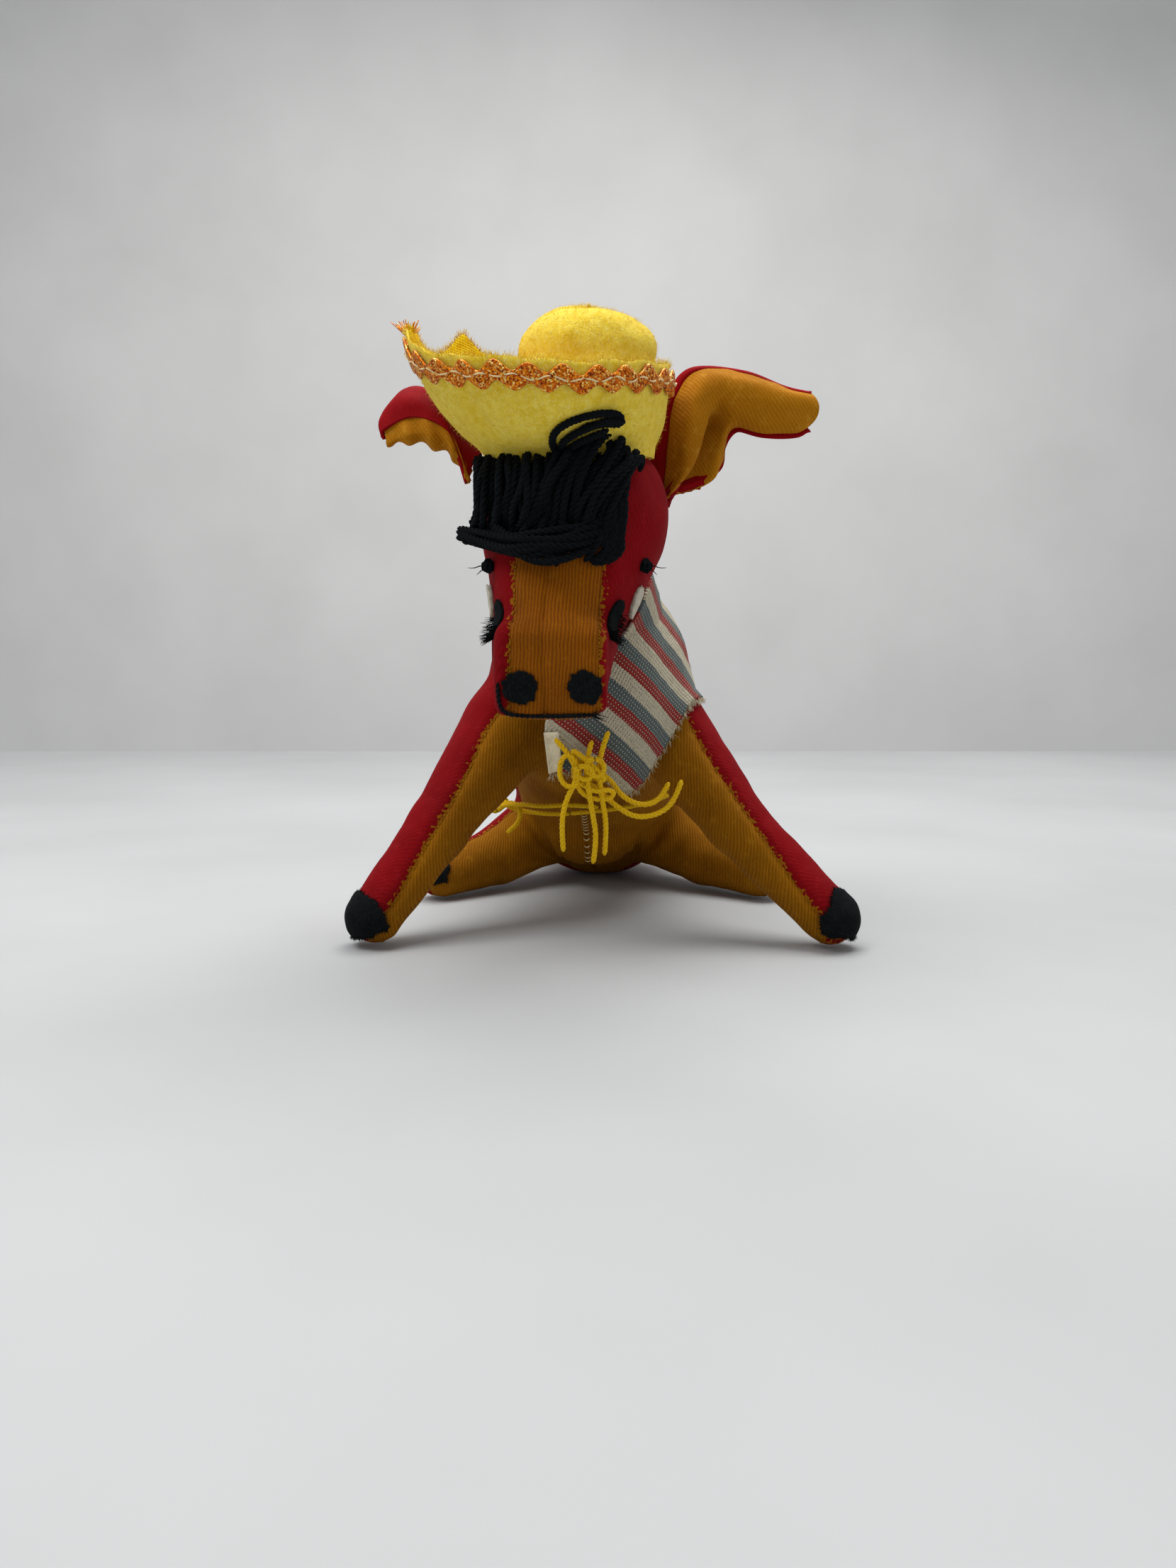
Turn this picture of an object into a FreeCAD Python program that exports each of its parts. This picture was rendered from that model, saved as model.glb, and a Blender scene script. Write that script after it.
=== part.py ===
import FreeCAD, Part
import math
import os

from FreeCAD import Vector

# Seated velveteen toy donkey with a felt sombrero, a woven blanket and cord trimmings.
# Millimetres, +Z up. The origin is the middle of the flat patch that the rump sits on.
# The donkey faces -Y, so its own left side is +X.

# ---------------------------------------------------------------- driving dimensions
FABRIC = 0.9          # thickness of the velveteen shell
FELT = 1.0            # thickness of hoof and hat felt
PATCH = 0.8           # thickness of the nostril, eye and lash patches
WEAVE = 1.6           # thickness of the folded blanket
CORD_D = 1.4          # yellow trimming cord
NOSTRIL_R = 3.7       # felt ovals on the muzzle
EYE_BEARING = 72      # degrees from straight ahead to the middle of each eye
LASH_BEARING = 62
KNOT_R = 1.7          # yarn knots at the temples
HOOF_LENGTH = 9.0     # length of leg covered by a hoof patch
TAIL_GAP = 0.9        # clearance between the rump and the root of the swinging tail
FLOOR_LIFT = 0.6      # how far the leg ends are pressed flat

RUMP = (Vector(0, 0, 26), 27.0)
CHEST = (Vector(-3, -63, 58), 26.0)
NECK_LOW = (Vector(-4, -66, 70), 22.6)
NECK_HIGH = (Vector(-8, -104, 98), 19.0)
SKULL = (Vector(-8, -116, 103), 21.0)
MUZZLE = (Vector(-12, -132.5, 70), 12.0)

FRONT_END_R = 6.9
HIND_END_R = 6.3
FRONT_END_Z = FRONT_END_R + FLOOR_LIFT
HIND_END_Z = HIND_END_R + FLOOR_LIFT
LEGS = {
    "front_right": ((Vector(-26, -80, 52), 13.0), (Vector(-57.5, -105, FRONT_END_Z), FRONT_END_R)),
    "front_left": ((Vector(19, -80, 54), 12.0), (Vector(57.5, -107, FRONT_END_Z), FRONT_END_R)),
    "hind_right": ((Vector(-17, -20, 15), 13.0), (Vector(-47, -55, HIND_END_Z), HIND_END_R)),
    "hind_left": ((Vector(17, -20, 15), 13.0), (Vector(45, -55, HIND_END_Z), HIND_END_R)),
}

HAT_BASE = Vector(-8.3, -118, 116.4)
CROWN_BASE_R = 19.3
CROWN_SHOULDER_R = 16.2
CROWN_SHOULDER_Z = 21.0
CROWN_HEIGHT = 35.5
CROWN_TILT = 6.0
BRIM_LOW_AXES = (20.4, 20.8)
BRIM_TOP_CENTRE = Vector(-15.6, -120, 137)
BRIM_TOP_AXES = (30.0, 33.0)
BRIM_LOW_TILT = (12.0, 4.0)      # degrees forward, degrees towards the donkey's left
BRIM_TOP_TILT = (16.0, 10.5)
TRIM_HEIGHT = 5.8
TRIM_THICK = 0.6
STITCH_COUNT = 44
STITCH_LENGTH = 2.6

EAR_CUP_R = 28.0
EAR_LEFT_ROOT = Vector(14.4, -110, 107)
EAR_RIGHT_ROOT = Vector(-30.6, -108, 107)
EAR_RIGHT_SWEEP = 51.0           # degrees that the right ear points backwards
EAR_LEFT_OUTLINE = [(0, 0), (1.6, 15), (5.2, 30), (17, 28), (35.5, 21.5), (29, 15.5), (18, 9), (9, 2)]
EAR_RIGHT_OUTLINE = [(0, 0), (4, 10), (14, 21), (33, 29), (39, 17), (25, 5), (10, -1.5)]

TAIL_ROUTE = [Vector(0, 20.4, 43.0), Vector(0, 26.5, 46.5), Vector(0, 31.5, 41.5), Vector(0, 32.2, 33.5),
              Vector(0, 31.6, 26)]
TAIL_D = 3.0
TUFT_LENGTH = 18.0
TUFT_R = 3.4

# Free cords: hand-laid routes, each point a bend of the tube's centre line.
CORD_ROUTES = {
    "tassel_cord_a": [(-12.0, -108.0, 51.8), (-8.0, -110.4, 47.8), (-6.4, -111.0, 42.6), (-9.4, -110.6, 37.2),
                      (-10.6, -109.6, 30.8), (-10.0, -108.2, 24.2)],
    "tassel_cord_b": [(-3.0, -108.4, 51.4), (-4.6, -110.6, 46.4), (-4.0, -111.4, 40.6), (-3.0, -111.0, 34.4),
                      (-1.8, -110.2, 27.6), (-2.8, -108.8, 21.4)],
    "tassel_cord_c": [(1.0, -107.6, 53.6), (-1.0, -109.6, 48.6), (-1.4, -110.4, 43.4), (-0.6, -110.6, 37.4),
                      (0.6, -110.0, 30.4), (0.0, -108.8, 23.4)],
    "tassel_cord_d": [(-8.0, -106.8, 42.6), (-3.0, -106.6, 40.8), (1.9, -107.6, 36.0), (7.4, -108.2, 32.4),
                      (13.6, -108.0, 33.4), (17.4, -107.2, 36.8), (18.9, -106.4, 41.6)],
    "tassel_cord_e": [(-8.6, -106.8, 46.8), (-3.2, -106.4, 45.2), (1.6, -106.4, 41.6), (4.6, -107.0, 37.2),
                      (9.6, -107.2, 35.2), (13.8, -107.0, 36.8), (15.8, -106.4, 41.0)],
    "girth_end": [(-29.2, -61.4, 29.6), (-23.4, -66.4, 31.0), (-16.6, -70.0, 30.4), (-9.2, -71.8, 31.4),
                  (-1.2, -72.4, 30.6)],
}
TASSEL_KNOT = (Vector(-3.8, -108.6, 45.2), (5.2, 3.6, 5.4))
GIRTH_KNOT_R = 2.2
GIRTH_KNOT_SHIFT = Vector(0.4, 0.3, -0.4)

# Girth: angle from straight down (positive towards the donkey's left) and distance from the trunk's axis.
GIRTH_STATION = 0.78
GIRTH_POINTS = [(0, 31.4), (-24, 33.2), (-50, 36.6), (-76, 33.8), (-102, 30.4), (-132, 28.8), (-162, 28.5),
                (168, 28.5), (138, 28.8), (108, 29.6), (78, 30.6), (50, 31.6), (24, 31.4)]

Z_AXIS = Vector(0, 0, 1)


# ---------------------------------------------------------------- helpers
def round_cone(ball_a, ball_b, grow=0.0):
    """Solid swept by a ball that changes size on its way from ball_a to ball_b."""
    start, end = ball_a[0], ball_b[0]
    radius_a = ball_a[1] + grow
    radius_b = ball_b[1] + grow
    axis = end - start
    length = axis.Length
    lean = math.asin((radius_a - radius_b) / length)
    touch_a = Vector(radius_a * math.cos(lean), 0, radius_a * math.sin(lean))
    touch_b = Vector(radius_b * math.cos(lean), 0, length + radius_b * math.sin(lean))
    bottom = Vector(0, 0, -radius_a)
    top = Vector(0, 0, length + radius_b)
    half_a = (lean - math.pi / 2) / 2
    half_b = (lean + math.pi / 2) / 2
    mid_a = Vector(radius_a * math.cos(half_a), 0, radius_a * math.sin(half_a))
    mid_b = Vector(radius_b * math.cos(half_b), 0, length + radius_b * math.sin(half_b))
    edges = [
        Part.Arc(bottom, mid_a, touch_a).toShape(),
        Part.LineSegment(touch_a, touch_b).toShape(),
        Part.Arc(touch_b, mid_b, top).toShape(),
        Part.LineSegment(top, bottom).toShape(),
    ]
    solid = Part.Face(Part.Wire(edges)).revolve(Vector(0, 0, 0), Z_AXIS, 360)
    turn = FreeCAD.Rotation(Z_AXIS, axis)
    solid.Placement = FreeCAD.Placement(start, turn)
    return solid


def ellipsoid(centre, radii):
    """Closed ellipsoid with its axes along X, Y and Z."""
    ball = Part.makeSphere(1.0)
    scale = FreeCAD.Matrix()
    scale.scale(Vector(*radii))
    solid = ball.transformGeometry(scale)
    solid.translate(centre)
    return solid


def prism(points, direction):
    """Closed solid that sweeps a flat outline along a direction."""
    closed = points + [points[0]]
    return Part.Face(Part.makePolygon(closed)).extrude(direction)


def prism_xz(outline, y_from, y_to):
    return prism([Vector(x, y_from, z) for x, z in outline], Vector(0, y_to - y_from, 0))


def prism_yz(outline, x_from, x_to):
    return prism([Vector(x_from, y, z) for y, z in outline], Vector(x_to - x_from, 0, 0))


def prism_xy(outline, z_from, z_to):
    return prism([Vector(x, y, z_from) for x, y in outline], Vector(0, 0, z_to - z_from))


def above(height):
    """Everything above a level."""
    return Part.makeBox(400, 400, 400, Vector(-200, -300, height))


def fuse_all(shapes):
    return shapes[0].fuse(shapes[1:]).removeSplitter()


def tidy_solid(shape, smallest=0.5):
    """The solids of a boolean result, without slivers under a volume in cubic millimetres."""
    solids = [solid for solid in shape.Solids if solid.Volume > smallest]
    return solids[0] if len(solids) == 1 else Part.makeCompound(solids)


def bend_path(points, closed=False):
    """Straight runs joined by tangent arcs, and the smallest arc radius."""
    count = len(points)
    corners = range(count) if closed else range(1, count - 1)
    cuts = {}
    smallest = math.inf
    for index in corners:
        before = points[index - 1]
        here = points[index]
        after = points[(index + 1) % count]
        back = before - here
        ahead = after - here
        turn = math.pi - back.getAngle(ahead)
        trim = 0.45 * min(back.Length, ahead.Length)
        radius = trim / math.tan(turn / 2)
        smallest = min(smallest, radius)
        back.normalize()
        ahead.normalize()
        bisector = back + ahead
        bisector.normalize()
        centre_distance = math.hypot(radius, trim)
        cuts[index] = (here + back * trim, here + bisector * (centre_distance - radius), here + ahead * trim)
    edges = []
    spans = range(count) if closed else range(count - 1)
    for index in spans:
        follower = (index + 1) % count
        run_start = cuts[index][2] if index in cuts else points[index]
        run_end = cuts[follower][0] if follower in cuts else points[follower]
        edges.append(Part.LineSegment(run_start, run_end).toShape())
        if follower in cuts:
            edges.append(Part.Arc(*cuts[follower]).toShape())
    return Part.Wire(edges), smallest


def tube(name, points, diameter, closed=False):
    """Round cord along a path, checked against its section times its length."""
    path, smallest = bend_path(points, closed)
    start = path.Edges[0]
    direction = start.tangentAt(start.FirstParameter)
    ring = Part.Circle(start.valueAt(start.FirstParameter), direction, diameter / 2).toShape()
    solid = path.makePipeShell([Part.Wire(ring)], True, False)
    expected = math.pi * diameter ** 2 / 4 * path.Length
    print(f"{name}: length {path.Length:.1f}, tightest radius {smallest:.1f}, "
          f"volume ratio {solid.Volume / expected:.4f}")
    return solid


def along(direction_from, direction_to, share):
    return direction_from + (direction_to - direction_from) * share


# ---------------------------------------------------------------- stuffed body
def trunk_shape(grow):
    return round_cone(RUMP, CHEST, grow)


def neck_shape(grow):
    return round_cone(NECK_LOW, NECK_HIGH, grow)


def head_shape(grow):
    return round_cone(SKULL, MUZZLE, grow)


def leg_shape(name, grow):
    return round_cone(LEGS[name][0], LEGS[name][1], grow)


def make_stuffing():
    """Wads packed one after another: trunk and neck, head, then each leg."""
    seat = above(0.3)
    trunk = fuse_all([trunk_shape(-FABRIC), neck_shape(-FABRIC)]).common(seat)
    head = head_shape(-FABRIC).cut(trunk)
    wads = {"body_stuffing": trunk, "head_stuffing": head}
    for name in LEGS:
        leg = leg_shape(name, -FABRIC).common(above(FELT + FABRIC))
        wads[f"{name}_leg_stuffing"] = tidy_solid(leg.cut(trunk))
    return wads


def make_outer():
    """Outside of the sewn velveteen shell."""
    trunk = trunk_shape(0).common(above(0))
    legs = [leg_shape(name, 0).common(above(FELT)) for name in LEGS]
    return fuse_all([trunk, neck_shape(0), head_shape(0)] + legs)


def gusset_region():
    """Space that holds the gold under gusset: inner legs, chest and belly."""
    front = prism_xz([(-57, -1), (-53, 8), (-44.5, 25), (-36, 39), (-29, 56), (-20, 66), (14, 66), (22, 56),
                      (26, 47), (37, 31), (52, 8), (56, -1)], -118, 40)
    below = prism_yz([(-140, -1), (-140, 85.9), (-67.5, 49.1), (-4.5, 17.1), (20, 4.7), (20, -1)], -90, 90)
    ahead = prism_xy([(-90, -150), (-90, -78), (-60, -70), (-47, -55), (-17, -20), (0, -9),
                      (17, -20), (45, -55), (58, -70), (90, -78), (90, -150)], -1, 90)
    return front.common(below).common(ahead)


def face_region():
    """Space that holds the gold strip down the face."""
    return prism_xz([(-21.7, 50), (-2.1, 50), (-0.5, 92), (0.1, 130), (-19.9, 130), (-19.9, 92)], -160, -124)


def right_half():
    """Everything on the donkey's right of the middle seam, which bends with the turned head."""
    return prism_xy([(-200, 60), (0, 60), (0, 0), (-3, -63), (-8, -110), (-18, -170), (-200, -170)], -5, 200)


def make_shell(outer, wads):
    """Velveteen shell around the stuffing, cut along its seams."""
    shell = outer.cut(fuse_all(list(wads.values())))
    face = shell.common(face_region())
    gusset = shell.common(gusset_region())
    sides = shell.cut(face_region()).cut(gusset_region())
    half = right_half()
    return {
        "face_gusset": tidy_solid(face),
        "under_gusset_right": tidy_solid(gusset.common(half)),
        "under_gusset_left": tidy_solid(gusset.cut(half)),
        "side_panel_right": tidy_solid(sides.common(half)),
        "side_panel_left": tidy_solid(sides.cut(half)),
    }


def make_hooves():
    """Black felt patches wrapped over the ends of the legs."""
    hooves = {}
    for name, (ball_a, ball_b) in LEGS.items():
        axis = ball_b[0] - ball_a[0]
        axis.normalize()
        edge = ball_b[0] + axis * (ball_b[1] - HOOF_LENGTH)
        cap = Part.makeCylinder(30, 60, edge, axis)
        sock = leg_shape(name, FELT).common(cap).common(above(0))
        hooves[f"{name}_hoof"] = tidy_solid(sock.cut(leg_shape(name, 0).common(above(FELT))))
    return hooves


# ---------------------------------------------------------------- face
def head_surface(height, bearing):
    """Point and outward direction where a level ray leaves the head, bearing from straight ahead."""
    share = (SKULL[0].z - height) / (SKULL[0].z - MUZZLE[0].z)
    centre = along(SKULL[0], MUZZLE[0], share)
    outward = Vector(math.sin(math.radians(bearing)), -math.cos(math.radians(bearing)), 0)
    inside = Part.makeLine(centre, centre + outward * 60).common(head_shape(0))
    return centre + outward * inside.Length, outward


def face_patch(region):
    return tidy_solid(head_shape(PATCH).cut(head_shape(0)).common(region), 0.05)


def make_nostrils():
    nostrils = {}
    for side, x in (("right", -18.0), ("left", -5.0)):
        region = Part.makeCylinder(NOSTRIL_R, 30, Vector(x, -160, 65), Vector(0, 1, 0))
        nostrils[f"nostril_{side}"] = face_patch(region)
    return nostrils


def make_eyes():
    """On each side a cream white, a slanting lash strip under it and a yarn knot on the temple."""
    pieces = {}
    for side, sign in (("right", -1), ("left", 1)):
        eye, outward = head_surface(84.5, sign * EYE_BEARING)
        white_region = Part.makeCylinder(3.6, 16, eye - outward * 6, outward)
        lash = Part.makeBox(9, 12, 2.6, Vector(-4.5, -6, -1.3))
        lash.rotate(Vector(0, 0, 0), Vector(0, 1, 0), -sign * 12)
        lash.rotate(Vector(0, 0, 0), Z_AXIS, sign * LASH_BEARING)
        lash.translate(head_surface(80.2, sign * LASH_BEARING)[0])
        pieces[f"lash_{side}"] = face_patch(lash)
        pieces[f"eye_white_{side}"] = face_patch(white_region.cut(lash))
        temple, outward = head_surface(91, sign * 90)
        pieces[f"temple_knot_{side}"] = Part.makeSphere(KNOT_R, temple + outward * (KNOT_R + 0.15))
    return pieces


def make_mouth():
    region = Part.makeBox(40, 24, 0.9, Vector(-32, -150, 60.2))
    return face_patch(region)


def make_forelock():
    """Clump of yarn that falls from under the hat over the forehead."""
    clump = head_shape(6.0).cut(head_shape(0))
    region = prism_xz([(-32, 100), (-26, 97), (-17, 90), (-7, 90.5), (3, 94), (9, 101), (9, 109), (0, 110.4),
                       (-20, 110.4), (-31, 111)], -160, -122)
    return tidy_solid(clump.common(region))


def make_mane(outer, blanket):
    """Row of yarn loops down the back of the neck, from behind the hat to the blanket."""
    ridge = neck_shape(4.6).cut(outer).cut(blanket)
    region = Part.makeBox(7, 26, 60, Vector(-10.4, -96, 80))
    return tidy_solid(ridge.common(region))


# ---------------------------------------------------------------- ears
def ear_layer(outline, inner_r, outer_r):
    """One cupped leaf layer, lying along +X from its root, its hollow side facing -Y."""
    curve = Part.BSplineCurve()
    curve.interpolate(Points=[Vector(u, 0, v) for u, v in outline], PeriodicFlag=True)
    leaf = Part.Face(Part.Wire(curve.toShape()))
    block = leaf.extrude(Vector(0, 40, 0))
    block.translate(Vector(0, -20, 0))
    middle = Vector(-20, -EAR_CUP_R, 12)
    rind = Part.makeCylinder(outer_r, 90, middle, Vector(1, 0, 0))
    rind = rind.cut(Part.makeCylinder(inner_r, 90, middle, Vector(1, 0, 0)))
    front_only = Part.makeBox(120, 60, 120, Vector(-30, -EAR_CUP_R, -50))
    return tidy_solid(block.common(rind).common(front_only))


def make_ears():
    ears = {}
    placements = {
        "left": (EAR_LEFT_OUTLINE, EAR_LEFT_ROOT, 0.0, False),
        "right": (EAR_RIGHT_OUTLINE, EAR_RIGHT_ROOT, EAR_RIGHT_SWEEP, True),
    }
    for side, (outline, root, sweep, mirrored) in placements.items():
        layers = {
            f"ear_lining_{side}": ear_layer(outline, EAR_CUP_R - FABRIC, EAR_CUP_R),
            f"ear_back_{side}": ear_layer(outline, EAR_CUP_R, EAR_CUP_R + FABRIC),
        }
        for name, layer in layers.items():
            if mirrored:
                layer = layer.mirror(Vector(0, 0, 0), Vector(1, 0, 0))
            layer.rotate(Vector(0, 0, 0), Z_AXIS, -sweep)
            layer.translate(root)
            ears[name] = layer
    return ears


# ---------------------------------------------------------------- hat
def tilted_ellipse(centre, axes, tilt):
    """Ellipse wire around a centre, leaning forward and towards the donkey's left."""
    forward, sideways = tilt
    edge = Part.Ellipse(Vector(0, 0, 0), axes[1], axes[0]).toShape()
    wire = Part.Wire(edge)
    wire.rotate(Vector(0, 0, 0), Z_AXIS, 90)
    wire.rotate(Vector(0, 0, 0), Vector(1, 0, 0), forward)
    wire.rotate(Vector(0, 0, 0), Vector(0, 1, 0), sideways)
    wire.translate(centre)
    return wire


def brim_cone(grow):
    low = tilted_ellipse(HAT_BASE, [axis + grow for axis in BRIM_LOW_AXES], BRIM_LOW_TILT)
    top = tilted_ellipse(BRIM_TOP_CENTRE, [axis + grow for axis in BRIM_TOP_AXES], BRIM_TOP_TILT)
    return Part.makeLoft([low, top], True, True)


def crown_solid(inset):
    """Dome of the crown, upright at the origin."""
    shoulder_r = CROWN_SHOULDER_R - inset
    top_z = CROWN_HEIGHT - inset
    rise = top_z - CROWN_SHOULDER_Z
    dome_r = (shoulder_r ** 2 + rise ** 2) / (2 * rise)
    dome_z = top_z - dome_r
    start_angle = math.asin((CROWN_SHOULDER_Z - dome_z) / dome_r)
    mid_angle = (start_angle + math.pi / 2) / 2
    foot = Vector(CROWN_BASE_R - inset, 0, 0)
    shoulder = Vector(shoulder_r, 0, CROWN_SHOULDER_Z)
    crest = Vector(dome_r * math.cos(mid_angle), 0, dome_z + dome_r * math.sin(mid_angle))
    top = Vector(0, 0, top_z)
    wall = Part.LineSegment(foot, shoulder).toShape()
    dome = Part.Arc(shoulder, crest, top).toShape()
    axis_line = Part.LineSegment(top, Vector(0, 0, 0)).toShape()
    floor = Part.LineSegment(Vector(0, 0, 0), foot).toShape()
    return Part.Face(Part.Wire([wall, dome, axis_line, floor])).revolve(Vector(0, 0, 0), Z_AXIS, 360)


def place_crown(shape):
    shape.rotate(Vector(0, 0, 0), Vector(1, 0, 0), CROWN_TILT)
    shape.translate(HAT_BASE)
    return shape


def trim_level(grow, share):
    """Ellipse around the brim, a share of the way up its slope."""
    centre = along(HAT_BASE, BRIM_TOP_CENTRE, share)
    axes = [low + (top - low) * share + grow for low, top in zip(BRIM_LOW_AXES, BRIM_TOP_AXES)]
    tilt = [low + (top - low) * share for low, top in zip(BRIM_LOW_TILT, BRIM_TOP_TILT)]
    return tilted_ellipse(centre, axes, tilt)


def make_hat():
    crown_outside = place_crown(crown_solid(0))
    crown = crown_outside.cut(place_crown(crown_solid(FELT)))
    brim = brim_cone(0).cut(brim_cone(-FELT)).cut(crown_outside)
    slope = 24.0
    low_share = 1 - (TRIM_HEIGHT + 0.8) / slope
    high_share = 1 - 0.8 / slope
    levels = [trim_level(TRIM_THICK, low_share), trim_level(TRIM_THICK, high_share)]
    outside = Part.makeLoft(levels, True, True)
    trim = outside.cut(brim_cone(0))
    middle = trim_level(TRIM_THICK + 0.35, (low_share + high_share) / 2).Edges[0]
    stitches = []
    for index in range(STITCH_COUNT):
        share = (index + 0.5) / STITCH_COUNT
        at = middle.FirstParameter + (middle.LastParameter - middle.FirstParameter) * share
        direction = middle.tangentAt(at)
        start = middle.valueAt(at) - direction * (STITCH_LENGTH / 2)
        stitches.append(Part.makeCylinder(0.25, STITCH_LENGTH, start, direction))
    return {
        "hat_crown": tidy_solid(crown),
        "hat_brim": tidy_solid(brim),
        "hat_trim": tidy_solid(trim),
        "hat_trim_stitches": Part.makeCompound(stitches),
    }


# ---------------------------------------------------------------- blanket
def blanket_plane(x, z, lift=0.0):
    """Point of the hanging front corner of the blanket, in front of the chest."""
    return Vector(x, -100 + 0.3 * x - lift, z)


def make_blanket(outer):
    """Folded woven strip over the withers and left shoulder, its end hanging before the chest."""
    bodies = [trunk_shape(WEAVE), neck_shape(WEAVE), leg_shape("front_left", WEAVE)]
    side_view = [(-96, 47), (-96, 66), (-88, 88), (-72, 104), (-36, 92), (-41, 76), (-57, 44), (-82, 44)]
    region = prism_yz(side_view, -14, 50)
    saddle = fuse_all(bodies).common(region)
    corner = [(27, 66), (25, 52), (5, 39.5), (-11, 44), (-14.6, 55.5), (0, 64), (12, 70)]
    flap = prism([blanket_plane(x, z) for x, z in corner], Vector(0, WEAVE, 0))
    whole = saddle.fuse(flap).cut(outer)
    tag = [(-13.6, 46.6), (-6.0, 45.0), (-6.6, 40.4), (-14.0, 42.2)]
    label = prism([blanket_plane(x, z, 0.4) for x, z in tag], Vector(0, 0.4, 0))
    return {"blanket": tidy_solid(whole, 5.0), "blanket_label": label}


# ---------------------------------------------------------------- cords
def make_girth():
    """Loose cord loop around the trunk behind the front legs."""
    axis = CHEST[0] - RUMP[0]
    centre = RUMP[0] + axis * GIRTH_STATION
    axis.normalize()
    sideways = Vector(1, 0, 0)
    down = axis.cross(sideways)
    if down.z > 0:
        down = down * -1
    down.normalize()
    sideways = down.cross(axis)
    if sideways.x < 0:
        sideways = sideways * -1
    points = []
    for angle, radius in GIRTH_POINTS:
        turn = math.radians(angle)
        points.append(centre + down * (radius * math.cos(turn)) + sideways * (radius * math.sin(turn)))
    print("girth_cord points:", [(round(p.x, 1), round(p.y, 1), round(p.z, 1)) for p in points])
    return tube("girth_cord", points, CORD_D, closed=True), points[2]


def make_cords():
    cords = {}
    for name, route in CORD_ROUTES.items():
        cords[name] = tube(name, [Vector(*point) for point in route], CORD_D)
    girth, knot_at = make_girth()
    tassel_names = [name for name in cords if name.startswith("tassel")]
    knot = ellipsoid(*TASSEL_KNOT)
    for name in tassel_names:
        knot = knot.cut(cords[name])
    ball = Part.makeSphere(GIRTH_KNOT_R, knot_at + GIRTH_KNOT_SHIFT)
    girth_knot = ball.cut(girth).cut(cords["girth_end"])
    cords["girth_end"] = cords["girth_end"].cut(girth)
    cords["tassel_knot"] = tidy_solid(knot)
    cords["girth_knot"] = tidy_solid(girth_knot)
    cords["girth_cord"] = girth
    return cords


# ---------------------------------------------------------------- tail and belly seam
def make_tail(outer):
    rope = tube("tail", TAIL_ROUTE, TAIL_D).cut(trunk_shape(TAIL_GAP))
    tip = TAIL_ROUTE[-1]
    tuft_top = (tip - Vector(0, 0, 1.6), 1.6)
    tuft_low = (tip - Vector(0.2, 0, TUFT_LENGTH - TUFT_R), TUFT_R)
    tuft = round_cone(tuft_low, tuft_top)
    return {"tail": tidy_solid(rope), "tail_tuft": tidy_solid(tuft.cut(rope))}


def make_belly_stitches():
    """Hand stitches that close the gusset's middle seam after stuffing."""
    axis = CHEST[0] - RUMP[0]
    length = axis.Length
    axis.normalize()
    down = axis.cross(Vector(1, 0, 0))
    if down.z > 0:
        down = down * -1
    stitches = []
    for index in range(9):
        station = 22 + index * 4.6
        radius = RUMP[1] + (CHEST[1] - RUMP[1]) * station / length
        middle = RUMP[0] + axis * station + down * (radius + 0.5)
        slant = Vector(1, 0, 0) + axis * 0.35
        slant.normalize()
        stitches.append(Part.makeCylinder(0.3, 2.4, middle - slant * 1.2, slant))
    return Part.makeCompound(stitches)


# ---------------------------------------------------------------- whole toy
def make_toy():
    wads = make_stuffing()
    outer = make_outer()
    nodes = dict(wads)
    nodes.update(make_shell(outer, wads))
    nodes.update(make_hooves())
    nodes.update(make_nostrils())
    nodes.update(make_eyes())
    nodes["mouth_thread"] = make_mouth()
    nodes["forelock"] = make_forelock()
    nodes.update(make_ears())
    nodes.update(make_hat())
    nodes.update(make_blanket(outer))
    nodes["mane"] = make_mane(outer, nodes["blanket"])
    nodes.update(make_cords())
    nodes.update(make_tail(outer))
    nodes["belly_stitches"] = make_belly_stitches()
    return nodes


os.makedirs("parts", exist_ok=True)
for node_name, node_shape in make_toy().items():
    box = node_shape.BoundBox
    print(f"{node_name}: solids {len(node_shape.Solids)}, valid {node_shape.isValid()}, "
          f"volume {node_shape.Volume:.1f}, x {box.XMin:.1f}..{box.XMax:.1f}, "
          f"y {box.YMin:.1f}..{box.YMax:.1f}, z {box.ZMin:.1f}..{box.ZMax:.1f}")
    node_shape.exportStep(f"parts/{node_name}.step")
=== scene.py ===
import math
import random

import bpy
import numpy as np
import openvdb
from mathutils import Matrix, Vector, noise


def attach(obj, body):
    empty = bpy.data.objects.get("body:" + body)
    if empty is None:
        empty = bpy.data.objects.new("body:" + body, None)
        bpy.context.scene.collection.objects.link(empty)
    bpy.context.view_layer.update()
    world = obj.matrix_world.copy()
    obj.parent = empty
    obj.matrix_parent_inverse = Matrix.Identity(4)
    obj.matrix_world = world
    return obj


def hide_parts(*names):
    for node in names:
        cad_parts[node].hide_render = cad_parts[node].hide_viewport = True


# Seated velveteen toy donkey with a felt sombrero. Shapes are worked out in millimetres and stored in metres;
# +Z is up, the donkey faces -Y and its own left is +X. Cord routes are in metres, as the CAD model lays them.

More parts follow.
